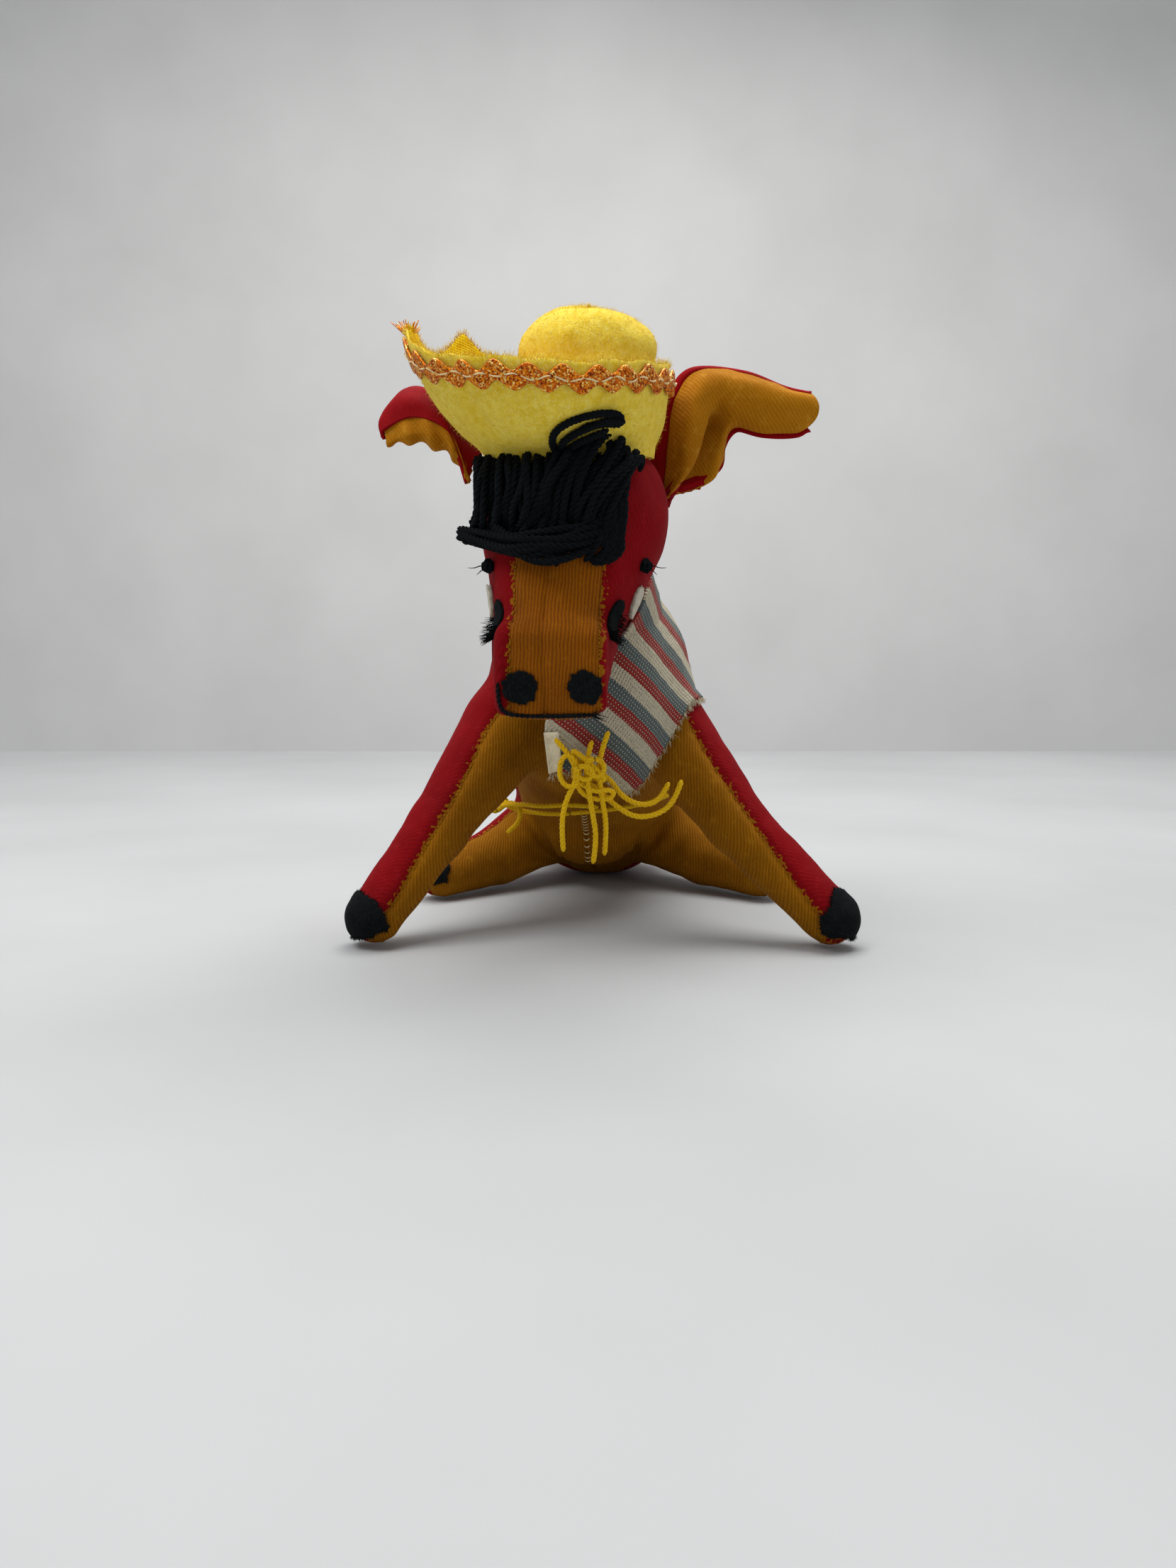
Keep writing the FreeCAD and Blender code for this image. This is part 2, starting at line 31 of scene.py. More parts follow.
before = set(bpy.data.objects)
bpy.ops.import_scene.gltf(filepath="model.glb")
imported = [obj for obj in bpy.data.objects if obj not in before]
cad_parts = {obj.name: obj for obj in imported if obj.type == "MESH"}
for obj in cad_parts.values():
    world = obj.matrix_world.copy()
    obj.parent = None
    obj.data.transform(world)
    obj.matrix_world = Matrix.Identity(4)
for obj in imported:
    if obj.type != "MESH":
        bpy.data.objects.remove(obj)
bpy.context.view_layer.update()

# ---------------------------------------------------------------- driving dimensions
MM = 0.001
FABRIC = 0.9
PATCH = 0.8
RIB_PITCH = 0.75
BODY_STEP = 0.85          # spacing of the grid that the body's surface is read from
CORD_D = 0.0014           # metres
CORD_LAY = 3.4            # length of cord for one turn of its strands
YARN_R = 0.88

RUMP = ((0, 0, 26), 27.0)
CHEST = ((-3, -63, 58), 26.0)
NECK_LOW = ((-4, -66, 70), 22.6)
NECK_HIGH = ((-9.5, -103, 96), 18.0)
SKULL = ((-7.0, -116, 103), 21.6)
MUZZLE = ((-12.3, -131.8, 70.0), 11.2)
# Each leg as three balls: hip, knee and the end that the hoof covers.
LEGS = {
    "front_right": [((-25.5, -80, 52.5), 12.0), ((-42.3, -93.5, 28.5), 7.9), ((-57.0, -105, 7.2), 6.7)],
    "front_left": [((15.5, -80, 54), 11.5), ((34.0, -94.5, 29.5), 7.9), ((55.8, -107, 7.2), 6.7)],
    "hind_right": [((-17, -14, 17.5), 12.5), ((-32, -31, 10.6), 9.0), ((-47.5, -47, 6.8), 6.3)],
    "hind_left": [((17, -14, 17.5), 12.5), ((32, -31, 10.6), 9.0), ((47.5, -47, 6.8), 6.3)],
}
MID_SEAM = [(-170, -18), (-110, -8), (-63, -5), (-28, -4.2), (0, 0), (60, 0)]        # (y, x)
GUSSET_FRONT = [(-63, -4), (-61.5, 2.6), (-53, 8), (-44.5, 25), (-36, 39), (-29, 56), (-20, 66), (14, 66),
                (22, 56), (26, 47), (37, 31), (52, 8), (60.5, 2.6), (62, -4)]
GUSSET_BELOW = [(-140, -4), (-140, 85.9), (-67.5, 49.1), (-4.5, 17.1), (20, 4.7), (20, -4)]
GUSSET_AHEAD = [(-90, -150), (-90, -76), (-61, -62), (-47.5, -47), (-17, -14), (0, -5), (17, -14),
                (47.5, -47), (61, -62), (90, -76), (90, -150)]
FACE_STRIP = [(-21.7, 40), (-2.1, 40), (-0.5, 92), (0.1, 130), (-19.9, 130), (-19.9, 92)]

HAT_BASE = (-8.3, -118, 116.4)
CROWN_BASE_R = 19.3
CROWN_SHOULDER_R = 15.2
CROWN_SHOULDER_Z = 21.0
CROWN_HEIGHT = 33.0
CROWN_TILT = 6.0
BRIM_LOW_AXES = (19.6, 20.6)
BRIM_LOW_CENTRE = (-9.6, -118, 118.0)
BRIM_TOP_CENTRE = (-15.6, -120, 137)
BRIM_TOP_AXES = (30.0, 33.0)
BRIM_LOW_TILT = (9.0, 3.0)
BRIM_TOP_TILT = (10.5, 3.5)
TRIM_LOW = 0.735          # share of the brim's slope
TRIM_HIGH = 0.955
TRIM_WAVES = 27

# Free cords, in metres.
CORD_ROUTES = {
    "tassel_cord_a": [(-0.0120, -0.1080, 0.0518), (-0.0080, -0.1104, 0.0478), (-0.0064, -0.1110, 0.0426),
                      (-0.0094, -0.1106, 0.0372), (-0.0106, -0.1096, 0.0308), (-0.0100, -0.1082, 0.0242)],
    "tassel_cord_b": [(-0.0030, -0.1084, 0.0514), (-0.0046, -0.1106, 0.0464), (-0.0040, -0.1114, 0.0406),
                      (-0.0030, -0.1110, 0.0344), (-0.0018, -0.1102, 0.0276), (-0.0028, -0.1088, 0.0214)],
    "tassel_cord_c": [(0.0010, -0.1076, 0.0536), (-0.0010, -0.1096, 0.0486), (-0.0014, -0.1104, 0.0434),
                      (-0.0006, -0.1106, 0.0374), (0.0006, -0.1100, 0.0304), (0.0000, -0.1088, 0.0234)],
    "tassel_cord_d": [(-0.0080, -0.1068, 0.0426), (-0.0030, -0.1066, 0.0408), (0.0019, -0.1076, 0.0360),
                      (0.0074, -0.1082, 0.0324), (0.0136, -0.1080, 0.0334), (0.0174, -0.1072, 0.0368),
                      (0.0189, -0.1064, 0.0416)],
    "tassel_cord_e": [(-0.0086, -0.1068, 0.0468), (-0.0032, -0.1064, 0.0452), (0.0016, -0.1064, 0.0416),
                      (0.0046, -0.1070, 0.0372), (0.0096, -0.1072, 0.0352), (0.0138, -0.1070, 0.0368),
                      (0.0158, -0.1064, 0.0410)],
    "girth_end": [(-0.0292, -0.0614, 0.0296), (-0.0234, -0.0664, 0.0310), (-0.0166, -0.0700, 0.0304),
                  (-0.0092, -0.0718, 0.0314), (-0.0012, -0.0724, 0.0306)],
}
GIRTH_LOOP = [(-2.3, -69.0, 29.0), (-16.0, -66.5, 27.6), (-30.4, -58.7, 29.4), (-35.1, -51.6, 43.0),
              (-32.0, -45.2, 56.0), (-23.7, -39.6, 67.7), (-11.1, -36.5, 75.0), (3.6, -36.7, 75.9),
              (16.9, -40.2, 70.4), (25.8, -46.1, 59.7), (27.6, -53.2, 45.9), (21.8, -59.3, 33.3),
              (10.4, -67.5, 30.4)]
TASSEL_KNOT = (-4.9, -108.9, 44.0)
# Slack turns of the big knot, as (x, y, z) from its middle.
TASSEL_TURNS = [
    [(-5.4, -1.0, 3.4), (-6.2, -1.4, -0.4), (-4.8, -1.8, -3.4), (-2.2, -2.2, -3.8), (-1.0, -2.2, -0.8),
     (-1.8, -2.0, 2.4), (-3.6, -1.4, 4.2)],
    [(-3.0, -1.6, 5.6), (0.2, -2.8, 3.2), (3.4, -2.6, 0.4), (5.0, -1.6, -1.8), (3.8, -1.0, -2.6),
     (0.8, -0.6, 0.4), (-2.6, -0.4, 3.4)],
    [(1.2, -3.0, 3.4), (4.4, -2.8, 2.8), (5.0, -2.4, 0.2), (2.6, -2.8, -1.4), (0.0, -3.2, 0.8)],
    [(-1.6, -1.8, -2.0), (2.0, -2.4, -4.8), (6.4, -1.6, -4.2), (7.4, -1.0, -5.6), (5.4, -0.8, -6.8),
     (1.6, -1.6, -6.6), (-1.4, -1.4, -4.4)],
    [(-2.2, -3.4, 0.8), (0.2, -4.0, 1.9), (2.4, -3.4, 0.4), (1.4, -3.0, -1.7), (-1.2, -3.0, -1.6)],
    [(-1.0, 0.6, 2.8), (2.4, 0.4, 1.0), (1.8, 0.2, -2.6), (-1.8, 0.4, -2.4), (-3.0, 0.6, 0.8)],
]
# Slack turns of the girth's knot and the loose bight beside it.
GIRTH_TURNS = [
    [(-1.8, -0.6, 1.6), (1.2, -1.2, 1.9), (2.0, -1.0, -0.6), (-0.4, -0.6, -1.9), (-2.2, 0.0, -0.6)],
    [(-0.8, -1.4, -1.8), (2.2, -1.6, -0.4), (3.6, -2.2, 1.6), (1.8, -2.0, 2.8), (-0.9, -1.4, 1.2)],
]
# Short cut end below the girth knot, from its middle.
GIRTH_STUB = [(0.8, -1.4, 0.8), (4.6, -4.2, 1.6), (7.2, -6.0, 0.6), (7.4, -6.8, -2.8), (5.6, -7.2, -5.4),
              (3.6, -7.2, -6.8)]
GIRTH_KNOT = (-30.4, -58.7, 29.4)
TAIL_ROUTE = [(0, 20.4, 43.0), (0, 26.5, 46.5), (0, 31.5, 41.5), (0, 32.2, 33.5), (0, 31.6, 26)]

chance = random.Random(7)


# ---------------------------------------------------------------- camera, light and floor
def set_camera():
    data = bpy.data.cameras.new("camera")
    data.sensor_fit = "VERTICAL"
    data.sensor_height = 36
    data.sensor_width = 27
    data.lens = 27.03
    data.clip_start = 0.01
    camera = bpy.data.objects.new("camera", data)
    camera.location = (-0.004, -0.393, 0.071)
    camera.rotation_euler = (math.radians(90 - 6.05), 0, 0)
    bpy.context.collection.objects.link(camera)
    bpy.context.scene.camera = camera


# ---------------------------------------------------------------- mesh helpers
def raw_object(name, points, faces, smooth=True):
    mesh = bpy.data.meshes.new(name)
    mesh.from_pydata((np.asarray(points, float) * MM).tolist(), [], [list(map(int, f)) for f in faces])
    if smooth:
        mesh.shade_smooth()
    mesh.update()
    obj = bpy.data.objects.new(name, mesh)
    bpy.context.collection.objects.link(obj)
    return obj


def piece(name, points, faces, material, body, slot, nodes=(), smooth=True):
    """A piece of the toy: its mesh, material, the body it rides on and the CAD nodes it stands for."""
    obj = raw_object(name, points, faces, smooth)
    obj.data.materials.append(material)
    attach(obj, body)
    if nodes:
        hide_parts(*nodes)
    return obj


def join(parts):
    """One list of points and faces out of several."""
    points = []
    faces = []
    start = 0
    for part_points, part_faces in parts:
        points.append(np.asarray(part_points, float))
        faces.extend([[index + start for index in face] for face in part_faces])
        start += len(part_points)
    return np.concatenate(points), faces


def nurbs_line(route, closed=False, steps=12):
    """Points along a smooth NURBS curve with the route's points as control points."""
    curve = bpy.data.curves.new("route", "CURVE")
    curve.dimensions = "3D"
    spline = curve.splines.new("NURBS")
    spline.points.add(len(route) - 1)
    for point, place in zip(spline.points, route):
        point.co = (*place, 1)
    spline.order_u = 3
    spline.resolution_u = steps
    if closed:
        spline.use_cyclic_u = True
    else:
        spline.use_endpoint_u = True
    obj = bpy.data.objects.new("route", curve)
    mesh = bpy.data.meshes.new_from_object(obj)
    line = np.array([vertex.co[:] for vertex in mesh.vertices])
    bpy.data.meshes.remove(mesh)
    bpy.data.objects.remove(obj)
    bpy.data.curves.remove(curve)
    return line


def even(line, spacing, closed=False):
    """The same line with its points evenly spaced."""
    if closed:
        line = np.vstack([line, line[:1]])
    steps = np.linalg.norm(np.diff(line, axis=0), axis=1)
    keep = np.concatenate([[True], steps > 1e-9])
    line = line[keep]
    reach = np.concatenate([[0], np.cumsum(np.linalg.norm(np.diff(line, axis=0), axis=1))])
    count = max(int(reach[-1] / spacing), 3)
    at = np.linspace(0, reach[-1], count + 1)
    if closed:
        at = at[:-1]
    return np.stack([np.interp(at, reach, line[:, axis]) for axis in range(3)], axis=1)


def frames_along(line, closed=False):
    """Tangent and two cross directions at each point, without sudden twists."""
    if closed:
        tangent = np.roll(line, -1, axis=0) - np.roll(line, 1, axis=0)
    else:
        tangent = np.gradient(line, axis=0)
    tangent /= np.linalg.norm(tangent, axis=1, keepdims=True) + 1e-12
    side = np.cross(tangent[0], (0.31, 0.17, 0.93))
    side /= np.linalg.norm(side)
    sides = []
    for direction in tangent:
        side = side - direction * (side @ direction)
        side /= np.linalg.norm(side) + 1e-12
        sides.append(side)
    sides = np.array(sides)
    return tangent, sides, np.cross(tangent, sides)


def skin(line, radius, around=6, closed=False):
    """Tube about a line; radius is a number or one number for each point."""
    tangent, side, up = frames_along(line, closed)
    radii = np.broadcast_to(np.asarray(radius, float), (len(line),))
    angles = np.linspace(0, 2 * math.pi, around, endpoint=False)
    ring = np.cos(angles)[None, :, None] * side[:, None, :] + np.sin(angles)[None, :, None] * up[:, None, :]
    points = (line[:, None, :] + ring * radii[:, None, None]).reshape(-1, 3)
    count = len(line)
    faces = []
    for row in range(count if closed else count - 1):
        follow = (row + 1) % count
        for column in range(around):
            beside = (column + 1) % around
            faces.append((row * around + column, row * around + beside,
                          follow * around + beside, follow * around + column))
    if not closed:
        faces.append(tuple(range(around))[::-1])
        faces.append(tuple(range((count - 1) * around, count * around)))
    return points, faces


def twist(line, radius, lay, plies=3, closed=False, around=6, taper=0.0):
    """Plies wound round a line so that their outside lies at the radius."""
    tangent, side, up = frames_along(line, closed)
    reach = np.concatenate([[0], np.cumsum(np.linalg.norm(np.diff(line, axis=0), axis=1))])
    turns = reach / lay
    if closed:
        total = reach[-1] + np.linalg.norm(line[0] - line[-1])
        turns = reach / total * round(total / lay)
    size = np.ones(len(line))
    if taper:
        left = np.minimum(reach, reach[-1] - reach)
        size = np.clip(0.45 + 0.55 * left / taper, 0.45, 1)
    parts = []
    for ply in range(plies):
        angle = 2 * math.pi * (turns + ply / plies)
        offset = np.cos(angle)[:, None] * side + np.sin(angle)[:, None] * up
        offset = offset * (radius * 0.5 * size)[:, None]
        parts.append(skin(line + offset, radius * 0.53 * size, around, closed))
    return join(parts)


def grid_faces(rows, columns, closed_rows=False, closed_columns=False):
    faces = []
    for row in range(rows if closed_rows else rows - 1):
        follow = (row + 1) % rows
        for column in range(columns if closed_columns else columns - 1):
            beside = (column + 1) % columns
            faces.append((row * columns + column, row * columns + beside,
                          follow * columns + beside, follow * columns + column))
    return faces


def spread(control, rows, columns):
    """Smooth grid of points through a small grid of control points."""
    control = np.asarray(control, float)

    def through(values, count):
        total = len(values)
        padded = np.concatenate([[2 * values[0] - values[1]], values, [2 * values[-1] - values[-2]]])
        out = []
        for at in np.linspace(0, total - 1, count):
            index = min(int(at), total - 2)
            t = at - index
            a, b, c, d = padded[index:index + 4]
            out.append(0.5 * (2 * b + (c - a) * t + (2 * a - 5 * b + 4 * c - d) * t ** 2
                              + (3 * b - a - 3 * c + d) * t ** 3))
        return np.array(out)

    tall = through(control, rows)
    return np.stack([through(row, columns) for row in tall])


def sheet_normals(grid):
    across = np.gradient(grid, axis=1)
    down = np.gradient(grid, axis=0)
    normal = np.cross(across, down)
    return normal / (np.linalg.norm(normal, axis=2, keepdims=True) + 1e-12)


def thick_sheet(grid, normals, front, back):
    """Closed sheet between two offsets of a grid of points."""
    rows, columns = grid.shape[:2]
    outer = (grid + normals * front).reshape(-1, 3)
    inner = (grid + normals * back).reshape(-1, 3)
    faces = grid_faces(rows, columns)
    total = rows * columns
    under = [tuple(index + total for index in face[::-1]) for face in faces]
    rim = list(range(columns)) + [row * columns + columns - 1 for row in range(1, rows)]
    rim += [(rows - 1) * columns + column for column in range(columns - 2, -1, -1)]
    rim += [row * columns for row in range(rows - 2, 0, -1)]
    sides = [(a, a + total, b + total, b) for a, b in zip(rim, rim[1:] + rim[:1])]
    return np.concatenate([outer, inner]), faces + under + sides


def wrinkle(points, size, seed=0.0):
    """Smooth noise between about -1 and 1 at each point."""
    return np.array([noise.noise(Vector((p[0] / size + seed, p[1] / size - seed, p[2] / size)))
                     for p in points])


# ---------------------------------------------------------------- stuffed body as a distance field
def cone_distance(points, ball_a, ball_b):
    """Distance to the solid swept by a ball that changes size on its way."""
    a = np.array(ball_a[0], float)
    b = np.array(ball_b[0], float)
    axis = b - a
    length2 = axis @ axis
    drop = ball_a[1] - ball_b[1]
    slant2 = length2 - drop * drop
    inverse = 1.0 / length2
    off = points - a
    y = off @ axis
    z = y - length2
    side = off * length2 - axis * y[..., None]
    x2 = (side * side).sum(-1)
    y2 = y * y * length2
    z2 = z * z * length2
    k = np.sign(drop) * drop * drop * x2
    far = np.sqrt(x2 + z2) * inverse - ball_b[1]
    near = np.sqrt(x2 + y2) * inverse - ball_a[1]
    middle = (np.sqrt(x2 * slant2 * inverse) + y * drop) * inverse - ball_a[1]
    return np.where(np.sign(z) * slant2 * z2 > k, far, np.where(np.sign(y) * slant2 * y2 < k, near, middle))


def box_distance(points, centre, half, rounding):
    q = np.abs(points - np.array(centre)) - np.array(half) + rounding
    outside = np.sqrt((np.maximum(q, 0) ** 2).sum(-1))
    return outside + np.minimum(q.max(-1), 0) - rounding


def soft_min(a, b, k):
    h = np.maximum(k - np.abs(a - b), 0) / k
    return np.minimum(a, b) - h * h * k * 0.25


def soft_max(a, b, k):
    return -soft_min(-a, -b, k)


def body_distance(points):
    """Distance to the outside of the sewn body."""
    head = cone_distance(points, SKULL, MUZZLE)
    head = soft_min(head, box_distance(points, (-11.9, -133.4, 68.6), (12.2, 11.0, 10.3), 3.6), 4)
    brow = (points[..., 1] + 144.2) * -0.976 + (points[..., 2] - 66) * -0.218
    head = soft_max(head, brow, 2.5)
    trunk = cone_distance(points, RUMP, CHEST)
    neck = cone_distance(points, NECK_LOW, NECK_HIGH)
    out = soft_min(trunk, neck, 9)
    out = soft_min(out, head, 6)
    shoulder = cone_distance(points, ((-17.0, -72, 69), 12.2), ((-22.4, -78, 56), 10.4))
    out = soft_min(out, shoulder, 5)
    belly = np.linalg.norm(points - np.array((-3.0, -28, 24.6)), axis=-1) - 17.6
    out = soft_min(out, belly, 2.5)
    for name, (hip, knee, foot) in LEGS.items():
        leg = soft_min(cone_distance(points, hip, knee), cone_distance(points, knee, foot), 2)
        out = soft_min(out, leg, 5.5 if name.startswith("front") else 3)
    return soft_max(out, 0.35 - points[..., 2], 1.2)


def slope(points, distance=body_distance, step=0.15):
    """Outward direction of a distance field."""
    parts = []
    for axis in range(3):
        shift = np.zeros(3)
        shift[axis] = step
        parts.append((distance(points + shift) - distance(points - shift)) / (2 * step))
    out = np.stack(parts, axis=-1)
    return out / (np.linalg.norm(out, axis=-1, keepdims=True) + 1e-12)


def settle(points, level=0.0, rounds=3, distance=body_distance):
    """Points moved onto one level of a distance field."""
    for _ in range(rounds):
        points = points - slope(points, distance) * (distance(points) - level)[..., None]
    return points


def read_surface(low, high, step, distance=body_distance):
    """Triangles on the surface of a distance field."""
    axes = [np.arange(low[i], high[i] + step, step) for i in range(3)]
    values = np.empty([len(axis) for axis in axes], np.float32)
    yy, zz = np.meshgrid(axes[1], axes[2], indexing="ij")
    for index, x in enumerate(axes[0]):
        layer = np.stack([np.full(yy.shape, x), yy, zz], axis=-1)
        values[index] = distance(layer)
    grid = openvdb.FloatGrid(10.0)
    grid.copyFromArray(np.clip(values, -5, 5))
    points, quads = grid.convertToQuads(0.0)
    points = points.astype(float) * step + np.array(low)
    triangles = np.concatenate([quads[:, [0, 1, 2]], quads[:, [0, 2, 3]]]).astype(np.int64)
    points = settle(points, 0.0, 2, distance)
    corner = points[triangles[:200]]
    facing = np.cross(corner[:, 1] - corner[:, 0], corner[:, 2] - corner[:, 0])
    if (facing * slope(corner.mean(axis=1), distance)).sum() < 0:
        triangles = triangles[:, ::-1]
    return points, triangles


def rounded(outline, times=2):
    """Outline with its corners cut into curves."""
    line = np.array(outline, float)
    for _ in range(times):
        follow = np.roll(line, -1, axis=0)
        line = np.stack([line * 0.75 + follow * 0.25, line * 0.25 + follow * 0.75], axis=1).reshape(-1, 2)
    return line


def inside_outline(places, outline):
    """Distance to a flat outline: positive inside, negative outside."""
    nearest = np.full(len(places), 1e9)
    inside = np.zeros(len(places), bool)
    for (ax, ay), (bx, by) in zip(outline, np.roll(outline, -1, axis=0)):
        edge = np.array((bx - ax, by - ay))
        off = places - (ax, ay)
        share = np.clip(off @ edge / max(edge @ edge, 1e-9), 0, 1)
        nearest = np.minimum(nearest, np.linalg.norm(off - share[:, None] * edge, axis=1))
        crosses = (ay > places[:, 1]) != (by > places[:, 1])
        height = by - ay if abs(by - ay) > 1e-9 else 1e-9
        inside ^= crosses & (places[:, 0] < (places[:, 1] - ay) * (bx - ax) / height + ax)
    return np.where(inside, nearest, -nearest)


def gusset_side(points):
    """Positive on the gold gusset of belly, chest and inner legs."""
    front = inside_outline(points[:, [0, 2]], rounded(GUSSET_FRONT))
    below = inside_outline(points[:, [1, 2]], rounded(GUSSET_BELOW))
    ahead = inside_outline(points[:, [0, 1]], rounded(GUSSET_AHEAD))
    chin = points[:, 1] + 118
    out = soft_min(soft_min(front, below, 5), ahead, 5)
    return np.minimum(out, chin)


def face_side(points):
    strip = inside_outline(points[:, [0, 2]], rounded(FACE_STRIP))
    return np.minimum(strip, -124 - points[:, 1])


def left_side(points):
    """Positive on the donkey's left of the middle seam."""
    y = [place[0] for place in MID_SEAM]
    x = [place[1] for place in MID_SEAM]
    return points[:, 0] - np.interp(points[:, 1], y, x)


def cut_along(points, triangles, level):
    """Splits triangles where a value changes sign, so that the border runs along mesh edges."""
    values = level(points)
    values = np.where(np.abs(values) < 1e-4, 1e-4, values)
    positive = values[triangles] > 0
    count = positive.sum(axis=1)
    mixed = (count == 1) | (count == 2)
    kept = triangles[~mixed]
    crossed = triangles[mixed]
    signs = positive[mixed]
    lone = np.where(signs.sum(axis=1) == 1, signs.argmax(axis=1), (~signs).argmax(axis=1))
    rows = np.arange(len(crossed))
    a = crossed[rows, lone]
    b = crossed[rows, (lone + 1) % 3]
    c = crossed[rows, (lone + 2) % 3]
    pairs = np.sort(np.concatenate([np.stack([a, b], 1), np.stack([a, c], 1)]), axis=1)
    unique, inverse = np.unique(pairs, axis=0, return_inverse=True)
    inverse = inverse.reshape(-1)
    first = values[unique[:, 0]]
    second = values[unique[:, 1]]
    share = np.clip(first / (first - second), 0.02, 0.98)[:, None]
    extra = points[unique[:, 0]] * (1 - share) + points[unique[:, 1]] * share
    ab = inverse[:len(a)] + len(points)
    ac = inverse[len(a):] + len(points)
    new = np.concatenate([np.stack([a, ab, ac], 1), np.stack([ab, b, c], 1), np.stack([ab, c, ac], 1)])
    return np.concatenate([points, extra]), np.concatenate([kept, new])


def thicken(points, triangles, normals, outer, inner):
    """Closed shell between two offsets of some triangles of a surface."""
    used, inverse = np.unique(triangles.reshape(-1), return_inverse=True)
    faces = inverse.reshape(-1, 3)
    total = len(used)
    edges = np.concatenate([faces[:, [0, 1]], faces[:, [1, 2]], faces[:, [2, 0]]])
    key = np.sort(edges, axis=1)
    _, index, count = np.unique(key, axis=0, return_index=True, return_counts=True)
    rim = edges[index[count == 1]]
    sides = np.stack([rim[:, 1], rim[:, 0], rim[:, 0] + total, rim[:, 1] + total], axis=1)
    top = points[used] + normals[used] * outer
    bottom = points[used] + normals[used] * inner
    all_faces = faces.tolist() + (faces[:, ::-1] + total).tolist() + sides.tolist()
    return np.concatenate([top, bottom]), all_faces, used, rim


# ---------------------------------------------------------------- materials
class Shader:
    """Short calls for building one node material."""

    def __init__(self, name, roughness, sheen=0.0, metallic=0.0, tint=(1, 1, 1)):
        self.material = bpy.data.materials.new(name)
        self.material.use_nodes = True
        self.nodes = self.material.node_tree.nodes
        self.links = self.material.node_tree.links
        self.bsdf = self.nodes["Principled BSDF"]
        self.bsdf.inputs["Roughness"].default_value = roughness
        self.bsdf.inputs["Metallic"].default_value = metallic
        self.bsdf.inputs["Specular IOR Level"].default_value = 0.12
        self.bsdf.inputs["Sheen Weight"].default_value = sheen
        self.bsdf.inputs["Sheen Roughness"].default_value = 0.4
        self.bsdf.inputs["Sheen Tint"].default_value = (*tint, 1)
        self.place = self.nodes.new("ShaderNodeTexCoord").outputs["Object"]

    def math(self, operation, a, b=0.0, c=0.0):
        node = self.nodes.new("ShaderNodeMath")
        node.operation = operation
        for socket, value in zip(node.inputs, (a, b, c)):
            if isinstance(value, (int, float)):
                socket.default_value = value
            else:
                self.links.new(value, socket)
        return node.outputs[0]

    def dot(self, axis, place=None):
        node = self.nodes.new("ShaderNodeVectorMath")
        node.operation = "DOT_PRODUCT"
        self.links.new(place or self.place, node.inputs[0])
        node.inputs[1].default_value = axis
        return node.outputs["Value"]

    def noise(self, size_mm, detail=3.0, stretch=(1, 1, 1), place=None):
        scaled = self.nodes.new("ShaderNodeMapping")
        scaled.inputs["Scale"].default_value = stretch
        self.links.new(place or self.place, scaled.inputs["Vector"])
        node = self.nodes.new("ShaderNodeTexNoise")
        node.inputs["Scale"].default_value = 1000.0 / size_mm
        node.inputs["Detail"].default_value = detail
        self.links.new(scaled.outputs[0], node.inputs["Vector"])
        return node.outputs["Fac"]

    def attribute(self, name):
        node = self.nodes.new("ShaderNodeAttribute")
        node.attribute_name = name
        return node

    def wave(self, value, pitch_mm):
        """0 to 1 and back over each pitch of a length in metres."""
        turned = self.math("SINE", self.math("MULTIPLY", value, 2 * math.pi / (pitch_mm * MM)))
        return self.math("MULTIPLY_ADD", turned, 0.5, 0.5)

    def remap(self, value, low, high, new_low=0.0, new_high=1.0):
        node = self.nodes.new("ShaderNodeMapRange")
        self.links.new(value, node.inputs[0])
        for socket, number in zip(list(node.inputs)[1:5], (low, high, new_low, new_high)):
            socket.default_value = number
        return node.outputs[0]

    def mix(self, factor, a, b):
        node = self.nodes.new("ShaderNodeMix")
        node.data_type = "RGBA"
        if isinstance(factor, (int, float)):
            node.inputs[0].default_value = factor
        else:
            self.links.new(factor, node.inputs[0])
        for socket, value in ((node.inputs[6], a), (node.inputs[7], b)):
            if isinstance(value, tuple):
                socket.default_value = (*value, 1)
            else:
                self.links.new(value, socket)
        return node.outputs[2]

    def finish(self, colour, height=None, depth_mm=0.1, strength=0.6):
        self.links.new(colour, self.bsdf.inputs["Base Color"])
        if height is not None:
            bump = self.nodes.new("ShaderNodeBump")
            bump.inputs["Strength"].default_value = strength
            bump.inputs["Distance"].default_value = depth_mm * MM
            self.links.new(height, bump.inputs["Height"])
            self.links.new(bump.outputs[0], self.bsdf.inputs["Normal"])
        return self.material


def linear(red, green, blue):
    """Linear colour from the usual 0 to 255 values."""
    return tuple((v / 255 / 12.92) if v / 255 <= 0.04045 else ((v / 255 + 0.055) / 1.055) ** 2.4
                 for v in (red, green, blue))


